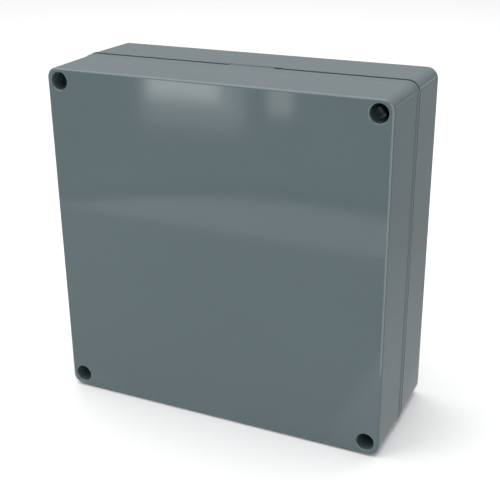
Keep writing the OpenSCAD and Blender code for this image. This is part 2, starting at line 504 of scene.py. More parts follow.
def mix(tree: NodeTree, mask: NodeSocket, low: NodeSocket | str, high: str) -> NodeSocket:
    """Mixes a hex colour or a socket with a second hex colour by a mask."""
    first = linear(low) if isinstance(low, str) else low
    return wire(tree, "ShaderNodeMix", {"data_type": "RGBA"}, {0: mask, 6: first, 7: linear(high)}, 2)


def spread(tree: NodeTree, value: NodeSocket, low: float, high: float) -> NodeSocket:
    """Stretches a 0 to 1 value to a range."""
    return wire(tree, "ShaderNodeMapRange", inputs={"Value": value, "To Min": low, "To Max": high})


def relief(tree: NodeTree, height: NodeSocket, depth: float, under: NodeSocket | None = None) -> NodeSocket:
    """Turns a height pattern into a surface normal.

    Args:
        tree: The material's tree.
        height: The pattern.
        depth: Its depth in millimetres.
        under: A normal to build on, if there is one.

    Returns:
        The normal.
    """
    inputs = {"Height": height, "Distance": depth * MM, "Strength": 1.0}
    if under is not None:
        inputs["Normal"] = under
    return wire(tree, "ShaderNodeBump", inputs=inputs)


@dataclass(frozen=True)
class Finish:
    """What all finishes share: a name, a colour and how the surface scatters light."""

    name: str
    colour: str
    roughness: float
    ior: float = 1.5
    metallic: float = 0.0

    def material(self) -> Material:
        """Makes the material once and hands out the same one afterwards.

        Returns:
            The material.
        """
        found = bpy.data.materials.get(self.name)
        if found is not None:
            return found
        made = bpy.data.materials.new(self.name)
        made.use_nodes = True
        tree = made.node_tree
        tree.nodes.clear()
        shader = add_node(
            tree,
            "ShaderNodeBsdfPrincipled",
            inputs={
                "Base Color": linear(self.colour),
                "Roughness": self.roughness,
                "IOR": self.ior,
                "Metallic": self.metallic,
            },
        )
        add_node(tree, "ShaderNodeOutputMaterial", inputs={"Surface": shader.outputs[0]})
        place = wire(tree, "ShaderNodeTexCoord", output="Object")
        for key, socket in self.detail(tree, place).items():
            tree.links.new(socket, shader.inputs[key])
        return made

    def detail(self, tree: NodeTree, place: NodeSocket) -> dict[str, NodeSocket]:
        """The surface's own pattern, by shader input; each kind of finish has its own."""
        return {}


@dataclass(frozen=True)
class MouldedPlastic(Finish):
    """Injection-moulded plastic: faint flow marks, orange peel, fine grain, edges painted paler (painted
    highlight, light rubbing).
    """

    dark: str = "#546367"
    light: str = "#58676b"
    # Paler edge colour: a painted highlight along the edges, with a little rubbing
    edge: str = "#7a8b90"
    flow_mm: float = 60.0
    peel_mm: float = 26.0
    peel_depth: float = 0.02
    grain_mm: float = 3.0
    grain_depth: float = 0.0008
    scuff_mm: float = 4.0
    edge_rub_and_highlight: float = 0.15
    edge_rub_and_highlight_radius: float = 0.5

    def detail(self, tree: NodeTree, place: NodeSocket) -> dict[str, NodeSocket]:
        """Colour drifts with the melt's flow, edges are painted paler as a painted highlight with a little
        rubbing, and two noises make the relief.

        Args:
            tree: The material's tree.
            place: The point on the object.

        Returns:
            Sockets by shader input.
        """
        body = mix(tree, noise(tree, place, self.flow_mm, 3.0), self.dark, self.light)
        rounded = wire(tree, "ShaderNodeBevel", {"samples": 6}, {"Radius": self.edge_rub_and_highlight_radius * MM})
        face = wire(tree, "ShaderNodeNewGeometry", output="Normal")
        bend = wire(
            tree, "ShaderNodeVectorMath", {"operation": "DOT_PRODUCT"}, {0: rounded, 1: face}, "Value"
        )
        # Edge mask for the paler edge colour: a painted highlight with a little rubbing, broken up by the
        # scuff noise
        limits = {"From Min": 0.99, "From Max": 0.8, "To Max": self.edge_rub_and_highlight}
        edge_rub_and_highlight_mask = wire(tree, "ShaderNodeMapRange", inputs={"Value": bend, **limits})
        scuff = noise(tree, place, self.scuff_mm, 5.0, 0.65)
        peel = relief(tree, noise(tree, place, self.peel_mm, 1.0, 0.4), self.peel_depth)
        return {
            "Base Color": mix(tree, calc(tree, "MULTIPLY", edge_rub_and_highlight_mask, scuff), body, self.edge),
            "Roughness": spread(tree, scuff, self.roughness * 0.75, self.roughness * 1.25),
            "Normal": relief(tree, noise(tree, place, self.grain_mm), self.grain_depth, peel),
        }


@dataclass(frozen=True)
class StripedPlastic(MouldedPlastic):
    """Moulded plastic in two colours, as on an earth terminal: green with yellow bands."""

    second: str = "#d9c21f"
    band_mm: float = 11.0

    def detail(self, tree: NodeTree, place: NodeSocket) -> dict[str, NodeSocket]:
        """Lays crisp bands along the height over the moulded look.

        Args:
            tree: The material's tree.
            place: The point on the object.

        Returns:
            Sockets by shader input.
        """
        sockets = super().detail(tree, place)
        height = wire(tree, "ShaderNodeSeparateXYZ", inputs={0: place}, output="Z")
        wave = calc(tree, "SINE", calc(tree, "MULTIPLY", height, math.pi / (self.band_mm * MM)))
        side = calc(tree, "GREATER_THAN", wave, 0.0)
        sockets["Base Color"] = mix(tree, side, sockets["Base Color"], self.second)
        return sockets


@dataclass(frozen=True)
class PlatedMetal(Finish):
    """Plated or turned metal: clouded plating, fine machining lines, duller where handled."""

    second: str = "#b9bcc0"
    line_mm: float = 0.25
    line_depth: float = 0.004
    line_ratio: float = 12.0
    cloud_mm: float = 5.0

    def detail(self, tree: NodeTree, place: NodeSocket) -> dict[str, NodeSocket]:
        """Clouds the colour and the gloss, and cuts fine lines along the box's depth.

        Args:
            tree: The material's tree.
            place: The point on the object.

        Returns:
            Sockets by shader input.
        """
        cloud = noise(tree, place, self.cloud_mm, 4.0, 0.6)
        stretch = (1.0, self.line_ratio, 1.0)
        squeezed = wire(tree, "ShaderNodeMapping", inputs={"Vector": place, "Scale": stretch})
        lines = noise(tree, squeezed, self.line_mm * self.line_ratio, 3.0)
        return {
            "Base Color": mix(tree, cloud, self.colour, self.second),
            "Roughness": spread(tree, cloud, self.roughness * 0.7, self.roughness * 1.4),
            "Normal": relief(tree, lines, self.line_depth),
        }


@dataclass(frozen=True)
class CellFoam(Finish):
    """Foamed polyurethane or rubber: a matt skin with small cells."""

    second: str = "#3a3a3c"
    cell_mm: float = 0.5
    cell_depth: float = 0.05

    def detail(self, tree: NodeTree, place: NodeSocket) -> dict[str, NodeSocket]:
        """Pits the skin with cells and lightens their rims.

        Args:
            tree: The material's tree.
            place: The point on the object.

        Returns:
            Sockets by shader input.
        """
        size = 1 / (self.cell_mm * MM)
        cells = wire(tree, "ShaderNodeTexVoronoi", inputs={"Vector": place, "Scale": size})
        return {
            "Base Color": mix(tree, cells, self.colour, self.second),
            "Roughness": spread(tree, cells, self.roughness * 0.85, self.roughness),
            "Normal": relief(tree, cells, self.cell_depth),
        }


def polyamide(
    kind: type[MouldedPlastic], name: str, colour: str, *shades: str, rough: float = 0.42
) -> Finish:
    """Polyamide of the terminals: matter than ABS, with a fine eroded grain.

    Args:
        kind: The finish to make.
        name: The material's name.
        colour: Its main colour.
        shades: Its dark, light and edge colours; the edge colour is a painted highlight with a little
            rubbing.
        rough: Its roughness.

    Returns:
        The finish.
    """
    return kind(
        name, colour, rough, 1.53, 0.0, *shades, peel_mm=1.5, peel_depth=0.01, grain_mm=0.25, grain_depth=0.01
    )


# Glossy injection-moulded ABS: an even grey skin, mirror-like at low angles, slightly wavy.
SHELL_ABS = MouldedPlastic("moulded_abs_grey", "#566569", 0.08, 1.53)
# Each terminal's last colour is its edge colour: a painted highlight with a little rubbing
POLYAMIDE = {
    "terminal_grey": polyamide(MouldedPlastic, "polyamide_grey", "#8a8d8e", "#808384", "#929596", "#a3a6a7"),
    "terminal_blue": polyamide(MouldedPlastic, "polyamide_blue", "#1f4fa0", "#1b4690", "#2558ac", "#4474bd"),
    "terminal_green_yellow": polyamide(
        StripedPlastic, "polyamide_green_yellow", "#2f8f3a", "#2a8334", "#349a40", "#63b36b"
    ),
    "bracket_pa": polyamide(
        MouldedPlastic, "polyamide_dark", "#4b4d4f", "#444648", "#525456", "#6a6c6e", rough=0.46
    ),
}
# Stainless steel, turned: bright neutral grey.
STAINLESS = PlatedMetal("stainless_turned", "#c3c4c5", 0.22, metallic=1.0, second="#d6d7d8")
# Blue-passivated zinc on steel: cool silver with faint clouds.
ZINC = PlatedMetal("zinc_blue_passivated", "#b6bcc4", 0.30, metallic=1.0, second="#cfd2d0", cloud_mm=12.0)
# Turned brass of the inserts.
BRASS = PlatedMetal("brass_turned", "#c9a352", 0.25, metallic=1.0, second="#d8b66c")
# Nickel on steel, slightly warm, for the rising cages.
NICKEL = PlatedMetal("nickel_plated", "#bdb8ab", 0.28, metallic=1.0, second="#cbc6ba")
# Tinned copper of the current bars: silver-white with a hint of copper.
TINNED = PlatedMetal("copper_tinned", "#c9b9a6", 0.30, metallic=1.0, second="#d8d0c6")
# Foamed polyurethane cord in the lid's groove.
FOAM = CellFoam("polyurethane_foam", "#232325", 0.85, 1.45)
# Nitrile rubber of the washers under the lid screws.
NITRILE = CellFoam("nitrile_rubber", "#111112", 0.6, 1.52, second="#1a1a1c", cell_mm=0.3, cell_depth=0.01)


# ---------------------------------------------------------------- Geometry Nodes


class Recipe:
    """A Geometry Nodes tree with named inputs, run once on an object and turned into a plain mesh."""

    KINDS = {
        float: "NodeSocketFloat",
        int: "NodeSocketInt",
        Material: "NodeSocketMaterial",
        Object: "NodeSocketObject",
    }

    def __init__(self, name: str, inputs: dict[str, type]) -> None:
        """Starts a tree with a Geometry input, the given ones and a Material input.

        Args:
            name: The tree's name.
            inputs: Each further input's name and type.
        """
        self.tree = bpy.data.node_groups.new(name, "GeometryNodeTree")
        face = self.tree.interface
        face.new_socket("Geometry", in_out="INPUT", socket_type="NodeSocketGeometry")
        face.new_socket("Geometry", in_out="OUTPUT", socket_type="NodeSocketGeometry")
        self.keys = {
            key: face.new_socket(key, in_out="INPUT", socket_type=self.KINDS[kind]).identifier
            for key, kind in {**inputs, "Material": Material}.items()
        }
        self.inputs = add_node(self.tree, "NodeGroupInput")

    def given(self, key: str) -> NodeSocket:
        """The output socket that carries a named input."""
        return self.inputs.outputs[key]

    def joined(self, shape: NodeSocket) -> NodeSocket:
        """Joins a shape to the piece that comes in.

        Args:
            shape: What is joined to it.

        Returns:
            Both together.
        """
        both = add_node(self.tree, "GeometryNodeJoinGeometry")
        for part in (self.given("Geometry"), shape):
            self.tree.links.new(part, both.inputs[0])
        return both.outputs[0]

    def copies(self, points: NodeSocket, key: str, **inputs: NodeSocket) -> NodeSocket:
        """Stands copies of a given object on points.

        Args:
            points: Where they stand.
            key: Name of the input that carries the object.
            inputs: Further inputs of the node that stands them.

        Returns:
            The copies as real geometry.
        """
        source = add_node(self.tree, "GeometryNodeObjectInfo", inputs={"Object": self.given(key)})
        stands = {"Points": points, "Instance": source.outputs["Geometry"], **inputs}
        stood = wire(self.tree, "GeometryNodeInstanceOnPoints", inputs=stands)
        return wire(self.tree, "GeometryNodeRealizeInstances", inputs={0: stood})

    def end(self, shape: NodeSocket) -> None:
        """Ends the tree in Realize Instances and Set Material.

        Args:
            shape: The finished geometry.
        """
        real = wire(self.tree, "GeometryNodeRealizeInstances", inputs={0: shape})
        inputs = {"Geometry": real, "Material": self.given("Material")}
        dressed = wire(self.tree, "GeometryNodeSetMaterial", inputs=inputs)
        add_node(self.tree, "NodeGroupOutput", inputs={0: dressed})

    def run(self, obj: Object, values: dict[str, Any]) -> Object:
        """Runs the tree on an object and keeps the result as a plain mesh.

        Args:
            obj: The object.
            values: By input name.

        Returns:
            The object.
        """
        modifier = obj.modifiers.new(self.tree.name, "NODES")
        modifier.node_group = self.tree
        for key, value in values.items():
            modifier[self.keys[key]] = value
        return plain_mesh(obj)


class ThreadRecipe(Recipe):
    """Winds a helical ridge round a shank that hangs below z = 0 of a screw drawn along z."""

    def __init__(self) -> None:
        """Builds the tree: a spiral, swept with a pointed section, joined to the core."""
        super().__init__("screw_thread", dict.fromkeys(("Radius", "Start", "Length", "Pitch"), float))
        tree, given = self.tree, self.given
        depth = calc(tree, "MULTIPLY", given("Pitch"), THREAD_DEPTH)
        middle = calc(tree, "SUBTRACT", given("Radius"), depth)
        winding = {
            "Resolution": 28,
            "Rotations": calc(tree, "DIVIDE", given("Length"), given("Pitch")),
            "Start Radius": middle,
            "End Radius": middle,
            "Height": given("Length"),
            "Reverse": False,
        }
        spiral = wire(tree, "GeometryNodeCurveSpiral", inputs=winding)
        path = wire(tree, "GeometryNodeSetCurveNormal", {"mode": "Z_UP"}, {"Curve": spiral})
        ring = {"Resolution": 4, "Radius": depth}
        section = wire(tree, "GeometryNodeCurvePrimitiveCircle", {"mode": "RADIUS"}, ring)
        sweep = {"Curve": path, "Profile Curve": section, "Fill Caps": True}
        ridge = wire(tree, "GeometryNodeCurveToMesh", inputs=sweep)
        low = wire(tree, "ShaderNodeCombineXYZ", inputs={"Z": given("Start")})
        shift = {"Geometry": ridge, "Translation": low}
        self.end(self.joined(wire(tree, "GeometryNodeTransform", inputs=shift)))


class RowCutRecipe(Recipe):
    """Cuts the same hole several times along a straight row."""

    def __init__(self) -> None:
        """Builds the tree: copies of a cutter on a line of points, taken away from the piece."""
        super().__init__("row_of_cuts", {"Cutter": Object, "Count": int, "Spacing": float})
        tree, given = self.tree, self.given
        reach = calc(tree, "MULTIPLY", calc(tree, "SUBTRACT", given("Count"), 1.0), given("Spacing"))
        first = calc(tree, "MULTIPLY", reach, -0.5)
        row = {
            "Count": given("Count"),
            "Start Location": wire(tree, "ShaderNodeCombineXYZ", inputs={"X": first}),
            "Offset": wire(tree, "ShaderNodeCombineXYZ", inputs={"X": given("Spacing")}),
        }
        line = wire(tree, "GeometryNodeMeshLine", {"mode": "OFFSET"}, row)
        way = {"operation": "DIFFERENCE", "solver": "EXACT"}
        meshes = {"Mesh 1": given("Geometry"), "Mesh 2": self.copies(line, "Cutter")}
        self.end(wire(tree, "GeometryNodeMeshBoolean", way, meshes))


class CordRecipe(Recipe):
    """Lays a cord of rounded section along a closed line."""

    def __init__(self) -> None:
        """Builds the tree: the piece's edges as a curve, swept with a filleted rectangle."""
        super().__init__("seal_cord", dict.fromkeys(("Width", "Height", "Round"), float))
        tree, given = self.tree, self.given
        path = wire(tree, "GeometryNodeMeshToCurve", inputs={"Mesh": given("Geometry")})
        sides = {key: given(key) for key in ("Width", "Height")}
        flat = wire(tree, "GeometryNodeCurvePrimitiveQuadrilateral", inputs=sides)
        rounding = {"Curve": flat, "Radius": given("Round"), "Count": 5}
        section = wire(tree, "GeometryNodeFilletCurve", {"mode": "POLY"}, rounding)
        self.end(wire(tree, "GeometryNodeCurveToMesh", inputs={"Curve": path, "Profile Curve": section}))


class RadialRecipe(Recipe):
    """Stands copies of a rib round an axis and joins them to the piece."""

    def __init__(self) -> None:
        """Builds the tree: a rib on each point of a circle, turned to face outwards."""
        super().__init__("ribs_round_an_axis", {"Rib": Object, "Count": int, "Radius": float})
        tree, given = self.tree, self.given
        sizes = {"Vertices": given("Count"), "Radius": given("Radius")}
        circle = wire(tree, "GeometryNodeMeshCircle", inputs=sizes)
        turn = calc(tree, "DIVIDE", 2 * math.pi, given("Count"))
        angle = calc(tree, "MULTIPLY", wire(tree, "GeometryNodeInputIndex"), turn)
        facing = wire(tree, "ShaderNodeCombineXYZ", inputs={"Z": angle})
        self.end(self.joined(self.copies(circle, "Rib", Rotation=facing)))


# ---------------------------------------------------------------- the box


@dataclass(frozen=True)
class ShellSize:
    """Sizes that the base and the lid share, in millimetres."""

    half: float
    depth: float
    base_top: float
    lid_bottom: float
    wall: float = 3.0
    corner: float = 5.5
    edge: float = 1.1
    bead: float = 0.35
    bead_height: float = 3.0
    lid_draft: float = 0.4
    seal_inset: float = 4.5
    block_x: float = 29.0
    block_y: float = 14.0
    tongue: float = 0.9
    groove: float = 1.3
    rib: float = 2.5
    groove_height: float = 7.3
    tongue_height: float = 4.2
    screw_inset: float = 6.9
    wall_hole: float = 60.5

    @property
    def arc_middle(self) -> float:
        """Distance of a corner arc's middle from the box's middle."""
        return self.half - self.corner

    @property
    def screw_at(self) -> float:
        """Distance of a lid screw from the box's middle, both ways."""
        return self.half - self.screw_inset

    def corners(self, x: float, v: float) -> list[Point]:
        """The four points at +-x, +-v, from the top right one round to the left."""
        return [(x, v), (-x, v), (-x, -v), (x, -v)]

    def sides(self, profile: Sequence[Point]) -> Solid:
        """Sweeps a profile round the box: each point is (distance from the arc's middle, h)."""
        layers = [(rounded_square(self.arc_middle + u, self.arc_middle + u, u, 16), h) for u, h in profile]
        return Solid().stack(layers)

    def between(self, low: float, high: float, half: float) -> Matrix:
        """The change that brings a skin's lower and upper sides from -+half to two given heights.

        Args:
            low: Height of the lower side.
            high: Height of the upper side.
            half: Half of the skin's first height.

        Returns:
            The change.
        """
        stretch = Matrix.Scale((high - low) / (2 * half), 4, (0, 1, 0))
        return Matrix.Translation((0, (high + low) / 2, 0)) @ stretch

    def seal_line(self, grow: float) -> Outline:
        """The seal's outline: it steps in round a block in each corner.

        Args:
            grow: How far it is grown outwards.

        Returns:
            The outline.
        """
        long, short = self.half - self.seal_inset + grow, self.half - self.block_y + grow
        step, radius = self.half - self.block_x + grow, 4.0 + grow
        quarter = (
            arc((long - radius, short - radius), radius, 0, 90, 8)
            + [(step + 0.6, short), (step + 0.2, short + 0.2), (step, short + 0.6)]
            + arc((step - radius, long - radius), radius, 0, 90, 8)
        )
        mirrored = [(-x, v) for x, v in reversed(quarter)]
        upper = quarter + mirrored
        return upper + [(-x, -v) for x, v in upper]

    def seal_wall(self, inner: float, outer: float, low: float, high: float) -> Solid:
        """A wall that follows the seal line."""
        return Solid().ring(self.seal_line(outer), self.seal_line(inner), low, high)

    def corner_web(self, sx: float, sv: float, low: float, high: float) -> Solid:
        """The thin wall that closes off one corner block.

        Args:
            sx: 1 for a right corner, -1 for a left one.
            sv: 1 for an upper corner, -1 for a lower one.
            low: Where it starts.
            high: Where it ends.

        Returns:
            The wall.
        """
        x0, v0, end = self.half - self.block_x, self.half - self.block_y, self.half - 2.6
        half_web = 0.6
        shape = [
            (x0 - half_web, v0 - half_web), (end, v0 - half_web), (end, v0 + half_web),
            (x0 + half_web, v0 + half_web), (x0 + half_web, end), (x0 - half_web, end),
        ]
        shape = [(sx * x, sv * v) for x, v in shape]
        return Solid().prism(shape if sx * sv > 0 else shape[::-1], low, high)


@dataclass
class Lid:
    """The deep moulded lid with its four screw wells."""

    size: ShellSize
    place: Matrix
    well_radius: float = 3.9
    well_depth: float = 22.0
    mouth: float = 0.6
    tube_radius: float = 5.5
    clear_radius: float = 2.3
    rim: float = 0.15
    hang: float = 0.4
    ejector_at: float = 40.0

    def outside(self) -> Solid:
        """The closed outer form: bead at the seam, leaning sides, round front edge.

        Returns:
            The form.
        """
        s = self.size
        u = s.corner - s.bead
        profile = [(s.corner - self.rim, s.lid_bottom)]
        profile += arc((s.corner - self.rim, s.lid_bottom + self.rim), self.rim, -60, 0, 3)
        profile += [(s.corner, s.lid_bottom + s.bead_height - 0.7)]
        bead_end = s.lid_bottom + s.bead_height
        profile += [(s.corner - s.bead / 2, bead_end - 0.35), (u, bead_end)]
        profile += arc((u - s.lid_draft - s.edge, s.depth - s.edge), s.edge, 0, 90, 10)
        return s.sides(profile).moved(s.between(-s.half, s.half - self.hang, s.half))

    def hollow(self) -> Solid:
        """The inside of the lid, with a rounded floor edge.

        Returns:
            The solid to take away.
        """
        s = self.size
        u, top = s.corner - s.wall, s.depth - s.wall
        profile = [(u, s.lid_bottom - 1)] + arc((u - s.lid_draft - 0.9, top - 0.9), 0.9, 0, 90, 6)
        return s.sides(profile)

    def well(self, at: Point) -> Solid:
        """The deep well with a rounded mouth.

        Args:
            at: Its place, (x, v).

        Returns:
            The solid to take away.
        """
        s = self.size
        seat = s.depth - self.well_depth
        rim = arc((self.well_radius + self.mouth, s.depth - self.mouth), self.mouth, 180, 90, 8)
        profile = [(self.well_radius, seat)] + rim + [(self.well_radius + self.mouth, s.depth + 1)]
        return Solid().lathe(profile, at, 96)

    def build(self) -> Object:
        """Makes the lid and lets it ride.

        Returns:
            The piece.
        """
        s = self.size
        top, inner = s.depth - self.well_depth, s.depth - s.wall
        tools = Tools()
        tools.take(self.hollow())
        tools.add(s.seal_wall(-s.rib, s.rib, s.lid_bottom, s.lid_bottom + s.groove_height + 1.5))
        for sx, sv in s.corners(1, 1):
            tools.add(s.corner_web(sx, sv, s.lid_bottom + s.groove_height + 1, inner + 1))
        for at in s.corners(s.screw_at, s.screw_at):
            tools.add(Solid().rod(self.tube_radius, s.lid_bottom, s.depth - s.edge - 0.4, at, 72))
        groove = s.seal_wall(-s.groove, s.groove, s.lid_bottom - 1, s.lid_bottom + s.groove_height)
        tools.take(groove)
        for at in s.corners(s.screw_at, s.screw_at):
            tools.take(Solid().rod(self.clear_radius, s.lid_bottom - 1, top + 1, at))
            tools.take(self.well(at))
        # Round marks of the ejector pins on the inner face
        for at in s.corners(self.ejector_at, self.ejector_at) + [(0, 0)]:
            tools.take(Solid().rod(4, inner - 1, inner + 0.25, at))
        piece = smooth(carve("lid_shell", self.outside(), tools, self.place))
        dress(piece, SHELL_ABS, "shell_abs", "lid", "lid")
        return piece


@dataclass
class Base:
    """The moulded base: outer walls, tongue, pillars, bosses and the pad at the seam."""

    size: ShellSize
    place: Matrix
    pillar_radius: float = 5.6
    insert_radius: float = 2.8
    insert_depth: float = 9.0
    wall_hole_radius: float = 2.25
    rail_boss_at: float = 54.0
    rail_foot: float = 7.0
    pad_x: float = 6.7
    pad_front: float = 12.7
    pad_rear: float = 4.6
    pad_length: float = 18.0
    tab_x: float = 5.2
    tab_half: float = 10.8
    rim: float = 0.12
    inset: float = 0.1
    lift: float = 0.5
    ramp: float = 0.34
    ejector_x: float = 38.0
    ejector_v: float = 48.0

    def outside(self) -> Solid:
        """The closed outer form: round back edge, leaning sides, small bead at the rim.

        Returns:
            The form.
        """
        s = self.size
        u, rim = s.corner - self.inset - s.bead, s.corner - self.inset
        profile = arc((u - s.edge, s.edge), s.edge, -90, 0, 10)
        profile += [(rim - s.bead / 2, s.base_top - 2.2), (rim, s.base_top - 1.5)]
        profile += arc((rim - self.rim, s.base_top - self.rim), self.rim, 0, 90, 4)
        return s.sides(profile).moved(s.between(self.lift - s.half, s.half - self.inset, s.half - self.inset))

    def hollow(self) -> Solid:
        """The inside of the base, with a rounded floor edge.

        Returns:
            The solid to take away.
        """
        s = self.size
        u = s.corner - s.wall
        return s.sides(arc((u - 1.2, s.wall + 0.9), 0.9, -90, 0, 6) + [(u, s.base_top + 1)])

    def pad(self) -> Solid:
        """The raised trapezoid on the top side, with softened edges.

        Returns:
            The solid to add.
        """
        s = self.size
        front, rear, top = s.base_top, s.base_top - self.pad_length, s.half
        layers = []
        for inset, v in ((0.0, top - 1.2), (0.0, top - 0.22), (0.12, top - 0.06), (0.35, top)):
            shape = [
                (self.pad_x - self.pad_front + inset, front - 0.02),
                (self.pad_x - self.pad_rear + inset, rear + inset),
                (self.pad_x + self.pad_rear - inset, rear + inset),
                (self.pad_x + self.pad_front - inset, front - 0.02),
            ]
            layers.append([Vector((x, v, h)) for x, h in shape])
        return Solid().loft(layers)

    def tab(self) -> Solid:
        """The part of the pad that bridges the seam: a short ramp down to the lid's rim.

        Returns:
            The solid to add.
        """
        s = self.size
        rear, high, top = s.base_top - 1, s.lid_bottom - 0.1, s.half - 0.04
        left, right = self.tab_x - self.tab_half, self.tab_x + self.tab_half
        layers = []
        for inset, v in ((0.0, top - 1.2), (0.0, top - 0.2), (0.08, top - 0.05), (0.2, top)):
            layers.append([
                Vector((left + inset, v, rear)), Vector((left + inset, v - self.ramp, high - inset)),
                Vector((right - inset, v - self.ramp, high - inset)), Vector((right - inset, v, rear)),
            ])
        return Solid().loft(layers)

    def build(self) -> Object:
        """Makes the base and lets it ride.

        Returns:
            The piece.
        """
        s = self.size
        bosses = [(-self.rail_boss_at, 0.0), (self.rail_boss_at, 0.0)]
        wall_holes = s.corners(s.wall_hole, s.screw_at)
        tools = Tools()
        tools.take(self.hollow())
        tools.add(s.seal_wall(-1.2, 2.0, s.base_top - 8, s.base_top))
        tools.add(s.seal_wall(-s.tongue, s.tongue, s.base_top - 1, s.base_top + s.tongue_height))
        for sx, sv in s.corners(1, 1):
            tools.add(s.corner_web(sx, sv, s.wall - 1, s.base_top - 1))
        for at in s.corners(s.screw_at, s.screw_at):
            tools.add(Solid().rod(self.pillar_radius, 1, s.base_top, at, 72))
        for at in wall_holes:
            tools.add(Solid().rod(4.2, 1, s.wall + 2, at))
        for at in bosses:
            for x, v in ((7.5, 0.5), (0.5, 7.5)):
                tools.add(Solid().box((at[0] - x, at[1] - v, 1), (at[0] + x, at[1] + v, self.rail_foot - 1)))
            tools.add(Solid().rod(4.5, 1, self.rail_foot, at))
        tools.add(self.pad(), self.tab())
        for at in s.corners(s.screw_at, s.screw_at):
            tools.take(Solid().rod(self.insert_radius, s.base_top - self.insert_depth, s.base_top + 1, at))
        for at in wall_holes:
            r = self.wall_hole_radius
            hole = [(r + 0.4, -1), (r + 0.4, 0.05), (r, 0.45), (r, s.wall + 3)]
            tools.take(Solid().lathe(hole, at, 64))
        for at in bosses:
            tools.take(Solid().rod(1.95, 1.2, self.rail_foot + 1, at))
        # Gate mark in the middle of the back, and ejector marks on the floor
        tools.take(Solid().lathe([(2.6, -1), (2.6, 0.2), (2.2, 0.45)], (0, 0), 64))
        tools.add(Solid().lathe([(0.7, 0.6), (0.7, 0.3), (0.45, 0.18)][::-1], (0, 0), 32))
        for at in s.corners(self.ejector_x, self.ejector_v):
            tools.take(Solid().rod(4, s.wall - 0.25, s.wall + 1, at))
        piece = smooth(carve("base_shell", self.outside(), tools, self.place))
        dress(piece, SHELL_ABS, "shell_abs", "base", "base_box")
        return piece


def dress(piece: Object, finish: Finish, slot: str, body: str, *nodes: str) -> None:
    """Gives a piece its material and its place in the assembly.

    Args:
        piece: The finished mesh object.
        finish: Its surface.
        slot: The record's material slot; not used.
        body: The CAD body that it rides on.
        nodes: The CAD nodes that it stands for.
    """
    piece.data.materials.clear()
    piece.data.materials.append(finish.material())
    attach(piece, body)
    if nodes:
        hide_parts(*nodes)
    LOG.info("%s: %d faces on %s", piece.name, len(piece.data.polygons), body)


@dataclass
class Screw:
    """A cross-recessed pan-head screw, drawn along its own line with the head's underside at zero."""

    shank: float
    length: float
    head: float
    height: float
    pitch: float = 0.7
    recess: float = 0.9

    def body(self) -> Object:
        """Turns the head and core and cuts the tapered cross recess.

        Returns:
            The blank, in metres.
        """
        core, dome = self.shank - self.pitch * THREAD_DEPTH, self.head * 0.45
        profile = [(core * 0.7, -self.length), (core, -self.length + 0.5), (core, -0.3), (core + 0.25, 0.0)]
        profile += [(self.head - 0.12, 0.0), (self.head, 0.12), (self.head, self.height * 0.35)]
        crown = self.height * 0.65
        profile += [
            (self.head - dome * (1 - math.cos(a)), self.height * 0.35 + crown * math.sin(a))
            for a in (math.pi / 2 * k / 8 for k in range(1, 8))
        ]
        profile += [(self.head - dome, self.height)]
        tools = Tools()
        for turn in (0, 90):
            wing = Solid()
            deep, high = self.height - self.recess, self.height + 0.3
            layers = []
            for reach, thick, h in ((self.head * 0.2, 0.28, deep), (self.head * 0.58, 0.42, high)):
                flat = [(reach, -thick), (reach, thick), (-reach, thick), (-reach, -thick)]
                layers.append((flat, h))
            wing.stack(layers).moved(Matrix.Rotation(math.radians(turn + 20), 4, "Z"))
            tools.take(wing)
        pit = [(0.3, self.height - self.recess - 0.2), (self.head * 0.34, self.height + 0.3)]
        tools.take(Solid().lathe(pit, segments=24))
        return carve("screw_blank", Solid().lathe(profile, segments=48), tools, TO_METRES)

    def build(self, name: str, finish: Finish, seats: Sequence[Matrix]) -> Object:
        """Makes one finished piece with a screw at each seat.

        Args:
            name: The piece's name.
            finish: Its plating, which the thread recipe sets too.
            seats: For each screw, the place of its head's underside.

        Returns:
            The piece.
        """
        blank = ThreadRecipe().run(
            self.body(),
            {
                "Radius": self.shank * MM,
                "Start": (-self.length + 0.5) * MM,
                "Length": (self.length - 1.2) * MM,
                "Pitch": self.pitch * MM,
                "Material": finish.material(),
            },
        )
        return smooth(scatter(name, blank, seats), 35)


def scatter(name: str, blank: Object, places: Sequence[Matrix]) -> Object:
    """Copies a finished blank to each place and joins the copies into one mesh.

    Args:
        name: Name of the new piece.
        blank: The object to copy, which is removed.
        places: A matrix in the frame's metres for each copy.

    Returns:
        The joined piece.
    """
    work = bmesh.new()
    for place in places:
        mesh = blank.data.copy()
        mesh.transform(place)
        work.from_mesh(mesh)
        bpy.data.meshes.remove(mesh)
    mesh = bpy.data.meshes.new(name)
    bmesh.ops.recalc_face_normals(work, faces=work.faces)
    work.to_mesh(mesh)
    work.free()
    discard([blank])
    return add_object(name, mesh)


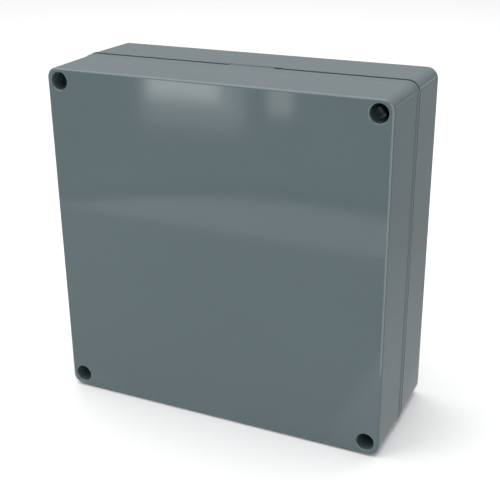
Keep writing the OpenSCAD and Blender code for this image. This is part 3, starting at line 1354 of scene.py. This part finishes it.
@dataclass
class LidFixings:
    """What holds and seals the lid: screws, washers, inserts and the foam cord."""

    size: ShellSize
    place: Matrix
    seat: float = 40.0
    washer: float = 0.8
    screw_length: float = 16.8
    insert_length: float = 8.0

    def seat_matrix(self, at: Point, h: float) -> Matrix:
        """A local metre frame standing at (x, v, h) with +Z to the front."""
        return self.place @ Matrix.Translation((at[0], at[1], h)) @ TO_MM

    def corner_names(self) -> list[tuple[str, Point]]:
        """Each corner's name with its screw's place."""
        names = ("top_right", "top_left", "bottom_left", "bottom_right")
        return list(zip(names, self.size.corners(self.size.screw_at, self.size.screw_at)))

    def screws(self) -> None:
        """Makes a screw and its rubber washer in every well."""
        screw = Screw(shank=2.0, length=self.screw_length, head=3.5, height=2.8)
        for corner, at in self.corner_names():
            under = self.seat + self.washer + 0.1
            piece = screw.build(f"steel_screw_{corner}", STAINLESS, [self.seat_matrix(at, under)])
            dress(piece, STAINLESS, "screw_steel", f"screw_{corner}", f"lid_screw_{corner}")
            low, high = self.seat + 0.05, self.seat + self.washer
            section = [(2.05, low), (3.3, low), (3.5, low + 0.2)]
            section += [(3.5, high - 0.2), (3.3, high), (2.05, high)]
            washer = revolved_ring(f"rubber_washer_{corner}", section, at, self.place)
            dress(washer, NITRILE, "washer_rubber", f"washer_{corner}", f"screw_washer_{corner}")

    def inserts(self) -> None:
        """Makes the four knurled brass inserts, with a thread cut in their bores."""
        high = self.size.base_top - INSERT_BELOW_RIM
        low = high - self.insert_length
        tall = high - low
        steps = int(tall / 0.35)
        bore = [
            (2.05 + (0.28 if i % 2 and i < steps else 0.0), tall - 0.1 - i * (tall - 0.2) / steps)
            for i in range(steps + 1)
        ]
        outer = [(2.35, 0.0), (2.5, 0.2), (2.5, tall * 0.42), (2.2, tall * 0.46), (2.2, tall * 0.54)]
        outer += [(2.5, tall * 0.58), (2.5, tall - 0.6), (2.76, tall - 0.5), (2.76, tall - 0.1)]
        outer += [(2.6, tall), (2.15, tall)]
        blank = revolved_ring("insert_blank", outer + bore + [(2.15, 0.0)], (0, 0), TO_METRES)
        ridge = [(-0.2, -0.16), (0.12, 0.0), (-0.2, 0.16)]
        rib = Solid().prism(ridge, 0.4, tall * 0.42).prism(ridge, tall * 0.58, tall - 0.5)
        rib_piece = rib.to_object("insert_rib", TO_METRES)
        blank = RadialRecipe().run(
            blank, {"Rib": rib_piece, "Count": 24, "Radius": 2.6 * MM, "Material": BRASS.material()}
        )
        discard([rib_piece])
        piece = scatter("brass_inserts", blank, [self.seat_matrix(at, low) for _, at in self.corner_names()])
        dress(smooth(piece, 30), BRASS, "insert_brass", "base", "thread_inserts")

    def cord(self) -> None:
        """Lays the foamed cord in the lid's groove."""
        low = self.size.base_top + self.size.tongue_height + 0.3
        high = self.size.lid_bottom + self.size.groove_height - 0.05
        line = self.size.seal_line(0)
        mesh = bpy.data.meshes.new("cord_line")
        edges = [(i, (i + 1) % len(line)) for i in range(len(line))]
        mesh.from_pydata([(x * MM, v * MM, 0) for x, v in line], edges, [])
        path = add_object("cord_line", mesh)
        blank = CordRecipe().run(
            path,
            {
                "Width": 2.36 * MM,
                "Height": (high - low) * MM,
                "Round": 0.6 * MM,
                "Material": FOAM.material(),
            },
        )
        piece = scatter("foam_cord", blank, [self.seat_matrix((0, 0), (low + high) / 2)])
        dress(smooth(piece, 50), FOAM, "gasket_foam", "lid", "lid_gasket")

    def build(self) -> None:
        """Makes everything in this group."""
        self.screws()
        self.inserts()
        self.cord()


def revolved_ring(name: str, section: Outline, at: Point, place: Matrix, segments: int = 64) -> Object:
    """Turns a closed (radius, h) section about a line along h into a ring.

    Args:
        name: The object's name.
        section: Closed section that stays clear of the line.
        at: The line's place, (x, v).
        place: Matrix from drawing millimetres to metres.
        segments: Facets round the circle.

    Returns:
        The ring, smooth shaded.
    """
    solid, count = Solid(), len(section)
    for i in range(segments):
        turn = 2 * math.pi * i / segments
        cos, sin = math.cos(turn), math.sin(turn)
        solid.points.extend(Vector((at[0] + r * cos, at[1] + r * sin, h)) for r, h in section)
        following = (i + 1) % segments
        for k in range(count):
            m = (k + 1) % count
            solid.faces.append((i * count + k, i * count + m, following * count + m, following * count + k))
    return smooth(solid.to_object(name, place), 30)


@dataclass
class Rail:
    """The top-hat rail with its slots and two screws."""

    place: Matrix
    foot: float
    length: float = 130.0
    width: float = 35.0
    hat: float = 27.0
    height: float = 7.5
    sheet: float = 1.0
    slot_pitch: float = 36.0
    slot_count: int = 4
    slot_length: float = 25.0
    slot_width: float = 5.2

    def section(self) -> Outline:
        """The rolled section with round bends.

        Returns:
            Points (v, height above the foot).
        """
        t, outer, inner = self.sheet, self.hat / 2, self.hat / 2 - self.sheet
        half = [(0.0, 0.0), (outer - 1.0, 0.0)]
        half += arc((outer - 0.9, 0.9), 0.9, -75, 0, 5)
        half += [(outer, self.height - t - 0.3)]
        half += [(outer + 0.1, self.height - t - 0.08), (outer + 0.35, self.height - t)]
        half += [(self.width / 2 - 0.2, self.height - t), (self.width / 2, self.height - t + 0.2)]
        half += [(self.width / 2, self.height - 0.2), (self.width / 2 - 0.2, self.height)]
        half += [(inner + 1.2, self.height)]
        half += arc((inner + 1.2, self.height - 1.2), 1.2, 105, 180, 5)
        half += [(inner, t + 0.35), (inner - 0.1, t + 0.1), (inner - 0.35, t), (0.0, t)]
        return both_sides(half)

    def screw_places(self) -> list[float]:
        """Distances along the rail of its two screws."""
        reach = (self.slot_count - 1) / 2 * self.slot_pitch
        return [-reach, reach]

    def build(self) -> None:
        """Rolls the section, punches the slots and adds the screws."""
        half = self.length / 2
        profile = Solid().prism(self.section(), -half, half, Axis.ACROSS)
        blank = profile.to_object("rail_blank", TO_METRES)
        straight, radius = (self.slot_length - self.slot_width) / 2, self.slot_width / 2
        slot = arc((straight, 0), radius, -90, 90, 12) + arc((-straight, 0), radius, 90, 270, 12)
        cutter = Solid().prism(slot, -2, 3).to_object("slot_cutter", TO_METRES)
        values = {"Cutter": cutter, "Count": self.slot_count, "Spacing": self.slot_pitch * MM}
        blank = RowCutRecipe().run(blank, {**values, "Material": ZINC.material()})
        discard([cutter])
        metres = self.place @ Matrix.Translation((0, 0, self.foot)) @ TO_MM
        piece = smooth(scatter("steel_rail", blank, [metres]), 28)
        dress(piece, ZINC, "rail_zinc", "base", "mounting_rail")
        seats = [
            self.place @ Matrix.Translation((x, 0, self.foot + self.sheet + 0.02)) @ TO_MM
            for x in self.screw_places()
        ]
        screws = Screw(shank=1.9, length=6.4, head=3.8, height=2.6, pitch=0.9)
        piece = screws.build("rail_fixing_screws", ZINC, seats)
        dress(piece, ZINC, "rail_screw_zinc", "base", "rail_screws")


@dataclass
class Terminal:
    """One screw terminal: its housing, current bar, two rising cages and their clamp screws."""

    name: str
    slot: str
    start: float
    place: Matrix
    foot: float
    width: float = 10.1
    side_wall: float = 1.0
    half: float = 23.8
    top: float = 44.0
    low: float = 3.2
    rail_half: float = 17.5
    rail_height: float = 7.5
    clamp_at: float = 13.5
    chamber: float = 4.3
    chamber_low: float = 13.0
    chamber_top: float = 33.0
    bar_low: float = 20.9
    bar_thick: float = 1.6
    bar_width: float = 4.6
    entry: float = 3.0
    bore: float = 3.5

    @property
    def middle(self) -> float:
        """Distance of the clamp screws' line from the housing's closed side."""
        return self.width / 2 + self.side_wall / 2

    def local(self) -> Matrix:
        """Drawing frame whose x starts at the housing's side and whose h starts at the rail's foot."""
        return self.place @ Matrix.Translation((self.start, 0, self.foot))

    def outline(self) -> Outline:
        """The housing's side view, hooked under both flanges of the rail.

        Returns:
            Points (v, height above the rail's foot).
        """
        flange, under = self.rail_height + 0.1, self.rail_height - 1.15
        lip, hook = self.rail_half + 0.2, self.rail_half - 1.2
        side = [
            (0, flange), (lip, flange), (lip, under), (hook, under), (hook, self.low),
            (self.half - 2.8, self.low), (self.half - 1, self.low + 2),
            (self.half, self.low + 6), (self.half, self.top - 13),
            (self.half - 3, self.top - 9), (self.half - 4.2, self.top), (0, self.top),
        ]
        return round_corners(both_sides(side), 0.5, 3)

    def housing(self) -> Object:
        """Moulds the housing: chambers, bridge shaft, bores, funnels, foot slits and grip marks.

        Returns:
            The piece.
        """
        w, deep = self.width, self.width + 1
        bar_top = self.bar_low + self.bar_thick
        tools = Tools()
        for s in (-1, 1):
            c = s * self.clamp_at
            chamber_floor = (self.side_wall, c - self.chamber, self.chamber_low)
            tools.take(Solid().box(chamber_floor, (deep, c + self.chamber, self.chamber_top)))
            tools.take(self.foot_slit(s, deep))
            shoulder = self.chamber_top + 1
            bore = [(2.3, shoulder - 2), (2.3, shoulder), (self.bore, shoulder + 0.001)]
            bore += [(self.bore, self.top - 0.5), (self.bore + 0.5, self.top)]
            bore += [(self.bore + 0.5, self.top + 1)]
            tools.take(Solid().lathe(bore, (self.middle, c), 48))
            far = self.half - self.clamp_at
            funnel = [(self.entry, 1.0), (self.entry, far - 2), (self.entry + 1.35, far + 1)]
            lay = Matrix.Rotation(math.radians(-90 * s), 4, "X")
            turn = Matrix.Translation((self.middle, c, self.bar_low - 3)) @ lay
            tools.take(Solid().lathe(funnel, segments=48).moved(turn))
            # Grip lines on the shoulder, and a recess for a marker tag without lettering
            for k in range(4):
                line = sorted((s * (self.half - 0.25), s * (self.half + 1)))
                z = self.low + 8 + 1.4 * k
                if z < self.bar_low - 8:
                    tools.take(Solid().box((1.4, line[0], z), (w - 1.4, line[1], z + 0.6)))
        tools.take(Solid().box((self.side_wall, -3, bar_top + 2), (deep, 3, self.top + 1)))
        half_bar = self.bar_width / 2 + 0.15
        bed = (self.middle - half_bar, -self.clamp_at, self.bar_low - 0.1)
        tools.take(Solid().box(bed, (deep, self.clamp_at, bar_top + 0.1)))
        for s in (-1, 1):
            tag = sorted((s * 4.2, s * 9.0))
            tools.take(Solid().box((2.0, tag[0], self.top - 0.6), (w - 2.0, tag[1], self.top + 1)))
        body = Solid().prism(self.outline(), 0, w, Axis.ACROSS)
        return smooth(carve(f"{self.name}_moulding", body, tools, self.local()), 30, 0.16)

    def foot_slit(self, s: int, deep: float) -> Solid:
        """The slit that lets one of the feet spring over the rail.

        Args:
            s: 1 for the upper foot, -1 for the lower one.
            deep: How far the slit reaches along the rail.

        Returns:
            The solid to take away.
        """
        slit = sorted((s * (self.rail_half - 7), s * (self.rail_half + 4)))
        return Solid().box((-1, slit[0], self.rail_height + 1.8), (deep, slit[1], self.rail_height + 2.7))

    def bar(self) -> Object:
        """Punches the current bar, with grip grooves across its lower face.

        Returns:
            The piece.
        """
        half, reach = self.bar_width / 2, self.clamp_at + 4.0
        left, right, low = self.middle - half, self.middle + half, self.bar_low
        body = Solid().box((left, -reach, low), (right, reach, low + self.bar_thick))
        tools = Tools()
        for s in (-1, 1):
            for k in range(-3, 4):
                v = s * self.clamp_at + 0.9 * k
                groove = [(v - 0.25, low - 0.1), (v + 0.25, low - 0.1), (v, low + 0.25)]
                tools.take(Solid().prism(groove, left - 1, right + 1, Axis.ACROSS))
        return smooth(carve(f"{self.name}_bar", body, tools, self.local()), 30, 0.15)

    def cage(self, side: str, s: int) -> Object:
        """Bends the rising cage round the bar: floor, two walls and a threaded roof.

        Args:
            side: "upper" or "lower".
            s: 1 for the upper side, -1 for the lower one.

        Returns:
            The piece.
        """
        c, half_w, half_v = s * self.clamp_at, 3.8, 4.0
        low, roof = self.chamber_low + 0.3, self.bar_low + self.bar_thick + 0.3
        outer = rectangle(self.middle, half_w, low, roof + 3)
        window = self.bar_width / 2 + 0.3
        inner = rectangle(self.middle, window, low + 1.6, roof)
        body = Solid().prism(round_corners(outer, 1.0, 5), c - half_v, c + half_v, Axis.UP)
        tools = Tools()
        tools.take(Solid().prism(round_corners(inner, 0.4, 3), c - half_v - 1, c + half_v + 1, Axis.UP))
        tools.take(Solid().rod(2.05, roof - 1, roof + 4, (self.middle, c)))
        for k in range(-2, 3):
            v = c + 1.3 * k
            groove = [(v - 0.3, low + 1.7), (v, low + 1.35), (v + 0.3, low + 1.7)]
            tools.take(Solid().prism(groove, self.middle - window, self.middle + window, Axis.ACROSS))
        return smooth(carve(f"{self.name}_cage_{side}", body, tools, self.local()), 30, 0.12)

    def build(self) -> None:
        """Makes the terminal's pieces and lets each ride on its body."""
        finish = POLYAMIDE[self.slot]
        dress(self.housing(), finish, self.slot, "base", f"housing_{self.name}")
        dress(self.bar(), TINNED, "bar_copper", "base", f"current_bar_{self.name}")
        under = self.chamber_top + 1.05
        screw = Screw(shank=2.0, length=under - self.bar_low - self.bar_thick - 0.5, head=3.1, height=3.0)
        for side, s in (("upper", 1), ("lower", -1)):
            tag = f"{self.name}_{side}"
            dress(self.cage(side, s), NICKEL, "cage_nickel", f"cage_{tag}", f"cage_{tag}")
            at = Matrix.Translation((self.middle, s * self.clamp_at, under))
            seat = self.local() @ at @ TO_MM
            piece = screw.build(f"{self.name}_clamp_{side}", ZINC, [seat])
            dress(piece, ZINC, "clamp_screw_zinc", f"clamp_{tag}", f"clamp_screw_{tag}")


@dataclass
class RowEnds:
    """The end plate and the two end brackets that hold the row on the rail."""

    place: Matrix
    foot: float
    plate: float = 2.0
    bracket: float = 9.5
    bracket_top: float = 34.0
    bracket_half: float = 22.3
    notches: tuple[float, ...] = (-15.0, 6.0)
    grips: tuple[float, ...] = (-2.4, -0.8, 0.8, 2.4)

    def form(
        self, name: str, start: float, width: float, top: float, half: float, tools: Tools
    ) -> Object:
        """Moulds a piece with a terminal's outline and takes the tools away from it.

        Args:
            name: The piece's name.
            start: Where it starts along the rail.
            width: Its width along the rail.
            top: Height of the outline above the rail's foot.
            half: Half of the outline's length across the rail.
            tools: What is added or taken away.

        Returns:
            The piece.
        """
        shape = Terminal(name, "", start, self.place, self.foot, half=half, top=top)
        for s in (-1, 1):
            tools.take(shape.foot_slit(s, width + 1))
        body = Solid().prism(shape.outline(), 0, width, Axis.ACROSS)
        return smooth(carve(name, body, tools, shape.local()), 30, 0.2)

    def build(self, plate_at: float, bracket_at: dict[str, float]) -> None:
        """Makes the three pieces.

        Args:
            plate_at: Where the end plate starts along the rail.
            bracket_at: Where each bracket starts.
        """
        plate = self.form("end_cover", plate_at, self.plate, Terminal.top, Terminal.half, Tools())
        dress(plate, POLYAMIDE["terminal_grey"], "terminal_grey", "base", "end_plate")
        for side, start in bracket_at.items():
            top, w = self.bracket_top, self.bracket
            tools = Tools()
            for v in self.notches:
                tools.take(Solid().box((1.5, v, top - 6), (w - 1.5, v + 9, top + 1)))
            for v in self.grips:
                tools.take(Solid().box((1.5, v - 0.35, top - 0.5), (w - 1.5, v + 0.35, top + 1)))
            piece = self.form(f"rail_stop_{side}", start, w, top, self.bracket_half, tools)
            dress(piece, POLYAMIDE["bracket_pa"], "bracket_pa", "base", f"end_bracket_{side}")


# ---------------------------------------------------------------- studio


@dataclass(frozen=True)
class Patch:
    """A soft-edged rectangle of light on a reflector card, in metres on the card."""

    low: Point
    high: Point
    soft: Point
    light: float


@dataclass(frozen=True)
class Arch:
    """The lower end of a card: a low arch, with a darker band just above it."""

    crown: float
    at: float
    bend: float
    band: float
    light: float
    soft: float = 0.003


@dataclass
class Reflector:
    """A card that only mirror-like reflections see, as a studio's soft boxes and flags are seen."""

    name: str
    corner: tuple[float, float, float]
    across: tuple[float, float, float]
    along: tuple[float, float, float]
    level: float
    patches: tuple[Patch, ...] = ()
    fade: float = 0.0
    arch: Arch | None = None

    def window(
        self, tree: NodeTree, value: NodeSocket, low: float, high: float, soft: float
    ) -> NodeSocket:
        """Gives 1 between two limits, with a soft step at each.

        Args:
            tree: The card's tree.
            value: What is compared with the limits.
            low: Lower limit.
            high: Upper limit.
            soft: Width of the steps, which lie inside the limits.

        Returns:
            The window.
        """
        kind, step = "ShaderNodeMapRange", {"interpolation_type": "SMOOTHSTEP"}
        rise = wire(tree, kind, step, {"Value": value, "From Min": low, "From Max": low + soft})
        limits = {"From Min": high - soft, "From Max": high, "To Min": 1.0, "To Max": 0.0}
        return calc(tree, "MULTIPLY", rise, wire(tree, kind, step, {"Value": value, **limits}))

    def patch(self, tree: NodeTree, flat: Node, patch: Patch) -> NodeSocket:
        """One patch's light over the card.

        Args:
            tree: The card's tree.
            flat: The node that gives the point's place on the card.
            patch: The patch.

        Returns:
            The light.
        """
        limits = zip(flat.outputs, patch.low, patch.high, patch.soft)
        sides = [self.window(tree, value, low, high, soft) for value, low, high, soft in limits]
        return calc(tree, "MULTIPLY", calc(tree, "MULTIPLY", *sides), patch.light)

    def height_over_arch(self, tree: NodeTree, flat: Node) -> NodeSocket:
        """Height of a point of the card above the arch, in metres.

        Args:
            tree: The card's tree.
            flat: The node that gives the point's place on the card.

        Returns:
            The height.
        """
        square = calc(tree, "POWER", calc(tree, "SUBTRACT", flat.outputs[0], self.arch.at), 2.0)
        height = calc(tree, "ADD", flat.outputs[1], calc(tree, "MULTIPLY", square, self.arch.bend))
        return calc(tree, "SUBTRACT", height, self.arch.crown)

    def material(self) -> Material:
        """Glowing card: an even level plus its patches, clear outside its edge.

        Returns:
            The material.
        """
        made = bpy.data.materials.new(self.name)
        made.use_nodes = True
        tree = made.node_tree
        tree.nodes.clear()
        place = wire(tree, "ShaderNodeUVMap", {"uv_map": "card"})
        flat = add_node(tree, "ShaderNodeSeparateXYZ", inputs={0: place})
        light: Any = self.level
        for patch in self.patches:
            light = calc(tree, "ADD", light, self.patch(tree, flat, patch))
        size = (Vector(self.across).length, Vector(self.along).length)
        shown = self.patch(tree, flat, Patch((0.0, 0.0), size, (self.fade, self.fade), 1.0))
        if self.arch is not None:
            height, soft = self.height_over_arch(tree, flat), self.arch.soft
            band = self.window(tree, height, 0.0, self.arch.band, soft)
            light = calc(tree, "ADD", light, calc(tree, "MULTIPLY", band, self.arch.light))
            above = self.window(tree, height, -soft, 1.0, 2 * soft)
            shown = calc(tree, "MULTIPLY", shown, above)
        glow = wire(tree, "ShaderNodeEmission", inputs={"Strength": light})
        clear = wire(tree, "ShaderNodeBsdfTransparent")
        both = wire(tree, "ShaderNodeMixShader", inputs={0: shown, 1: clear, 2: glow})
        add_node(tree, "ShaderNodeOutputMaterial", inputs={"Surface": both})
        return made

    def build(self) -> None:
        """Hangs the card; it lights nothing, casts no shadow and isn't seen directly."""
        corner, across, along = Vector(self.corner), Vector(self.across), Vector(self.along)
        mesh = bpy.data.meshes.new(self.name)
        points = [corner, corner + across, corner + across + along, corner + along]
        mesh.from_pydata(points, [], [(0, 1, 2, 3)])
        layer = mesh.uv_layers.new(name="card")
        wide, tall = across.length, along.length
        for loop, place in zip(layer.data, ((0, 0), (wide, 0), (wide, tall), (0, tall))):
            loop.uv = place
        mesh.materials.append(self.material())
        card = add_object(self.name, mesh)
        card.visible_camera = card.visible_diffuse = card.visible_shadow = False


@dataclass
class Studio:
    """Pale floor, soft lights, reflector cards and the camera."""

    middle: Vector
    camera_from: tuple[float, float, float] = (0.17868, -0.36920, 0.24274)
    camera_to: tuple[float, float, float] = (0.0187, -0.031, 0.0884)
    camera_roll: float = -0.537
    lens: float = 68.44
    horizon: float = 0.34
    zenith: float = 1.0
    floor_reach: float = 30.0

    def floor(self) -> None:
        """Lays the floor: matt pale paint, very faintly uneven."""
        mesh = bpy.data.meshes.new("studio_floor")
        corners = rectangle(0.0, self.floor_reach, -self.floor_reach, self.floor_reach)
        mesh.from_pydata([(x, y, 0) for x, y in corners], [], [(0, 1, 2, 3)])
        floor = add_object("studio_floor", mesh)
        paint = bpy.data.materials.new("matt_floor_paint")
        paint.use_nodes = True
        shader = paint.node_tree.nodes["Principled BSDF"]
        shader.inputs["Roughness"].default_value = 0.8
        shader.inputs["Specular IOR Level"].default_value = 0.1
        tree = paint.node_tree
        place = wire(tree, "ShaderNodeTexCoord", output="Object")
        cloud = wire(tree, "ShaderNodeTexNoise", inputs={"Vector": place, "Scale": 3.0})
        tree.links.new(mix(tree, cloud, "#fafafa", "#fdfdfd"), shader.inputs["Base Color"])
        mesh.materials.append(paint)

    def area(self, name: str, at: Sequence[float], size: Point, power: float) -> None:
        """Adds an area light that faces the object.

        Args:
            name: The light's name.
            at: Its place.
            size: Width and height in metres.
            power: Watts.
        """
        data = bpy.data.lights.new(name, "AREA")
        data.shape = "RECTANGLE"
        data.size, data.size_y = size
        data.energy = power
        light = add_object(name, data)
        towards = self.middle - Vector(at)
        turned = towards.to_track_quat("-Z", "Y").to_matrix().to_4x4()
        light.matrix_world = Matrix.Translation(at) @ turned

    def lights(self) -> None:
        """Sets soft overhead light and a surround that is grey at eye level and white overhead."""
        world = bpy.data.worlds.new("pale_surround")
        bpy.context.scene.world = world
        world.use_nodes = True
        tree = world.node_tree
        backdrop = tree.nodes["Background"]
        backdrop.inputs["Color"].default_value = (1, 1, 1, 1)
        way = wire(tree, "ShaderNodeTexCoord", output="Generated")
        height = wire(tree, "ShaderNodeSeparateXYZ", inputs={0: way}, output="Z")
        limits = {"From Min": 0.1, "From Max": 0.8, "To Min": self.horizon, "To Max": self.zenith}
        strength = wire(tree, "ShaderNodeMapRange", inputs={"Value": height, **limits})
        tree.links.new(strength, backdrop.inputs["Strength"])
        self.area("overhead", (-0.15, 0.0, 1.3), (1.2, 1.2), 9.0)
        self.area("front_left", (-0.9, -1.0, 0.9), (0.7, 0.9), 3.5)

    def reflectors(self) -> None:
        """Places the soft boxes that the lid's front mirrors, and the flags and strips round the box."""
        boxes = (
            Patch((0.084, 0.056), (0.180, 0.130), (0.018, 0.036), 1.4),
            Patch((0.092, 0.082), (0.160, 0.130), (0.012, 0.016), 2.7),
            Patch((0.186, 0.078), (0.210, 0.130), (0.006, 0.014), 1.8),
            Patch((-0.020, 0.020), (0.078, 0.140), (0.010, 0.020), -0.05),
        )
        Reflector(
            "front_soft_boxes", (-0.260, -0.250, 0.002), (0.300, 0, 0), (0, 0, 0.120), 0.6, boxes, 0.001,
            Arch(0.026, 0.230, 0.65, 0.013, -0.15),
        ).build()
        near_side = Patch((-0.2, -0.3), (2.2, 0.34), (0.01, 0.30), 0.14)
        Reflector(
            "side_flag", (0.060, -0.05, 0.0006), (2.0, 0, 0), (0, 3.0, 0), 0.34, (near_side,), 0.03
        ).build()
        Reflector("front_flag", (-0.40, -0.25, 0.0006), (0.458, 0, 0), (0, 0.215, 0), 0.75, (), 0.01).build()
        Reflector("edge_strip", (0.091, -0.110, 0.0), (0.068, 0.065, 0), (0, 0, 0.22), 3.0, (), 0.004).build()
        Reflector("top_strip", (-1.3, -0.95, 0.60), (1.5, 0, 0), (0, 1.15, 0.60), 3.2, (), 0.05).build()

    def camera(self) -> None:
        """Puts the camera in front of the box, a little to the right and above."""
        data = bpy.data.cameras.new("camera")
        data.lens = self.lens
        data.sensor_width = 36.0
        data.clip_start, data.clip_end = 0.01, 50.0
        camera = add_object("camera", data)
        towards = Vector(self.camera_to) - Vector(self.camera_from)
        turned = towards.to_track_quat("-Z", "Y").to_matrix().to_4x4()
        roll = Matrix.Rotation(math.radians(self.camera_roll), 4, "Z")
        camera.matrix_world = Matrix.Translation(self.camera_from) @ turned @ roll
        bpy.context.scene.camera = camera

    def build(self) -> None:
        """Sets up everything round the object."""
        self.floor()
        self.lights()
        self.reflectors()
        self.camera()
        bpy.context.scene.view_settings.view_transform = "Standard"


def main() -> None:
    """Builds every piece round the frame."""
    logging.basicConfig(level=logging.INFO, format="%(message)s")
    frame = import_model()
    base_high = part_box("base_box")[1]
    lid_low, lid_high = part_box("lid")
    place = Place(base_high.y, (lid_low.z + lid_high.z) / 2).matrix()
    size = ShellSize(
        half=(lid_high.x - lid_low.x) / 2 / MM,
        depth=(base_high.y - lid_low.y) / MM,
        lid_bottom=(base_high.y - lid_high.y) / MM,
        base_top=(base_high.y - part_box("thread_inserts")[0].y) / MM + INSERT_BELOW_RIM,
    )
    LOG.info("box %.1f mm wide, %.1f mm deep, %d joints", 2 * size.half, size.depth, len(frame["joints"]))
    Studio(Vector((0, 0, (lid_low.z + lid_high.z) / 2))).build()
    Base(size, place).build()
    Lid(size, place).build()
    LidFixings(size, place).build()
    rail_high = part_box("mounting_rail")[1]
    foot = (base_high.y - rail_high.y) / MM
    Rail(place, foot).build()
    slots = {"neutral": "terminal_blue", "earth": "terminal_green_yellow"}
    for name in ("line1", "line2", "line3", "neutral", "earth"):
        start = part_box(f"housing_{name}")[0].x / MM
        Terminal(name, slots.get(name, "terminal_grey"), start, place, foot).build()
    RowEnds(place, foot).build(
        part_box("end_plate")[0].x / MM,
        {side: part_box(f"end_bracket_{side}")[0].x / MM for side in ("left", "right")},
    )


if __name__ == "__main__":
    main()
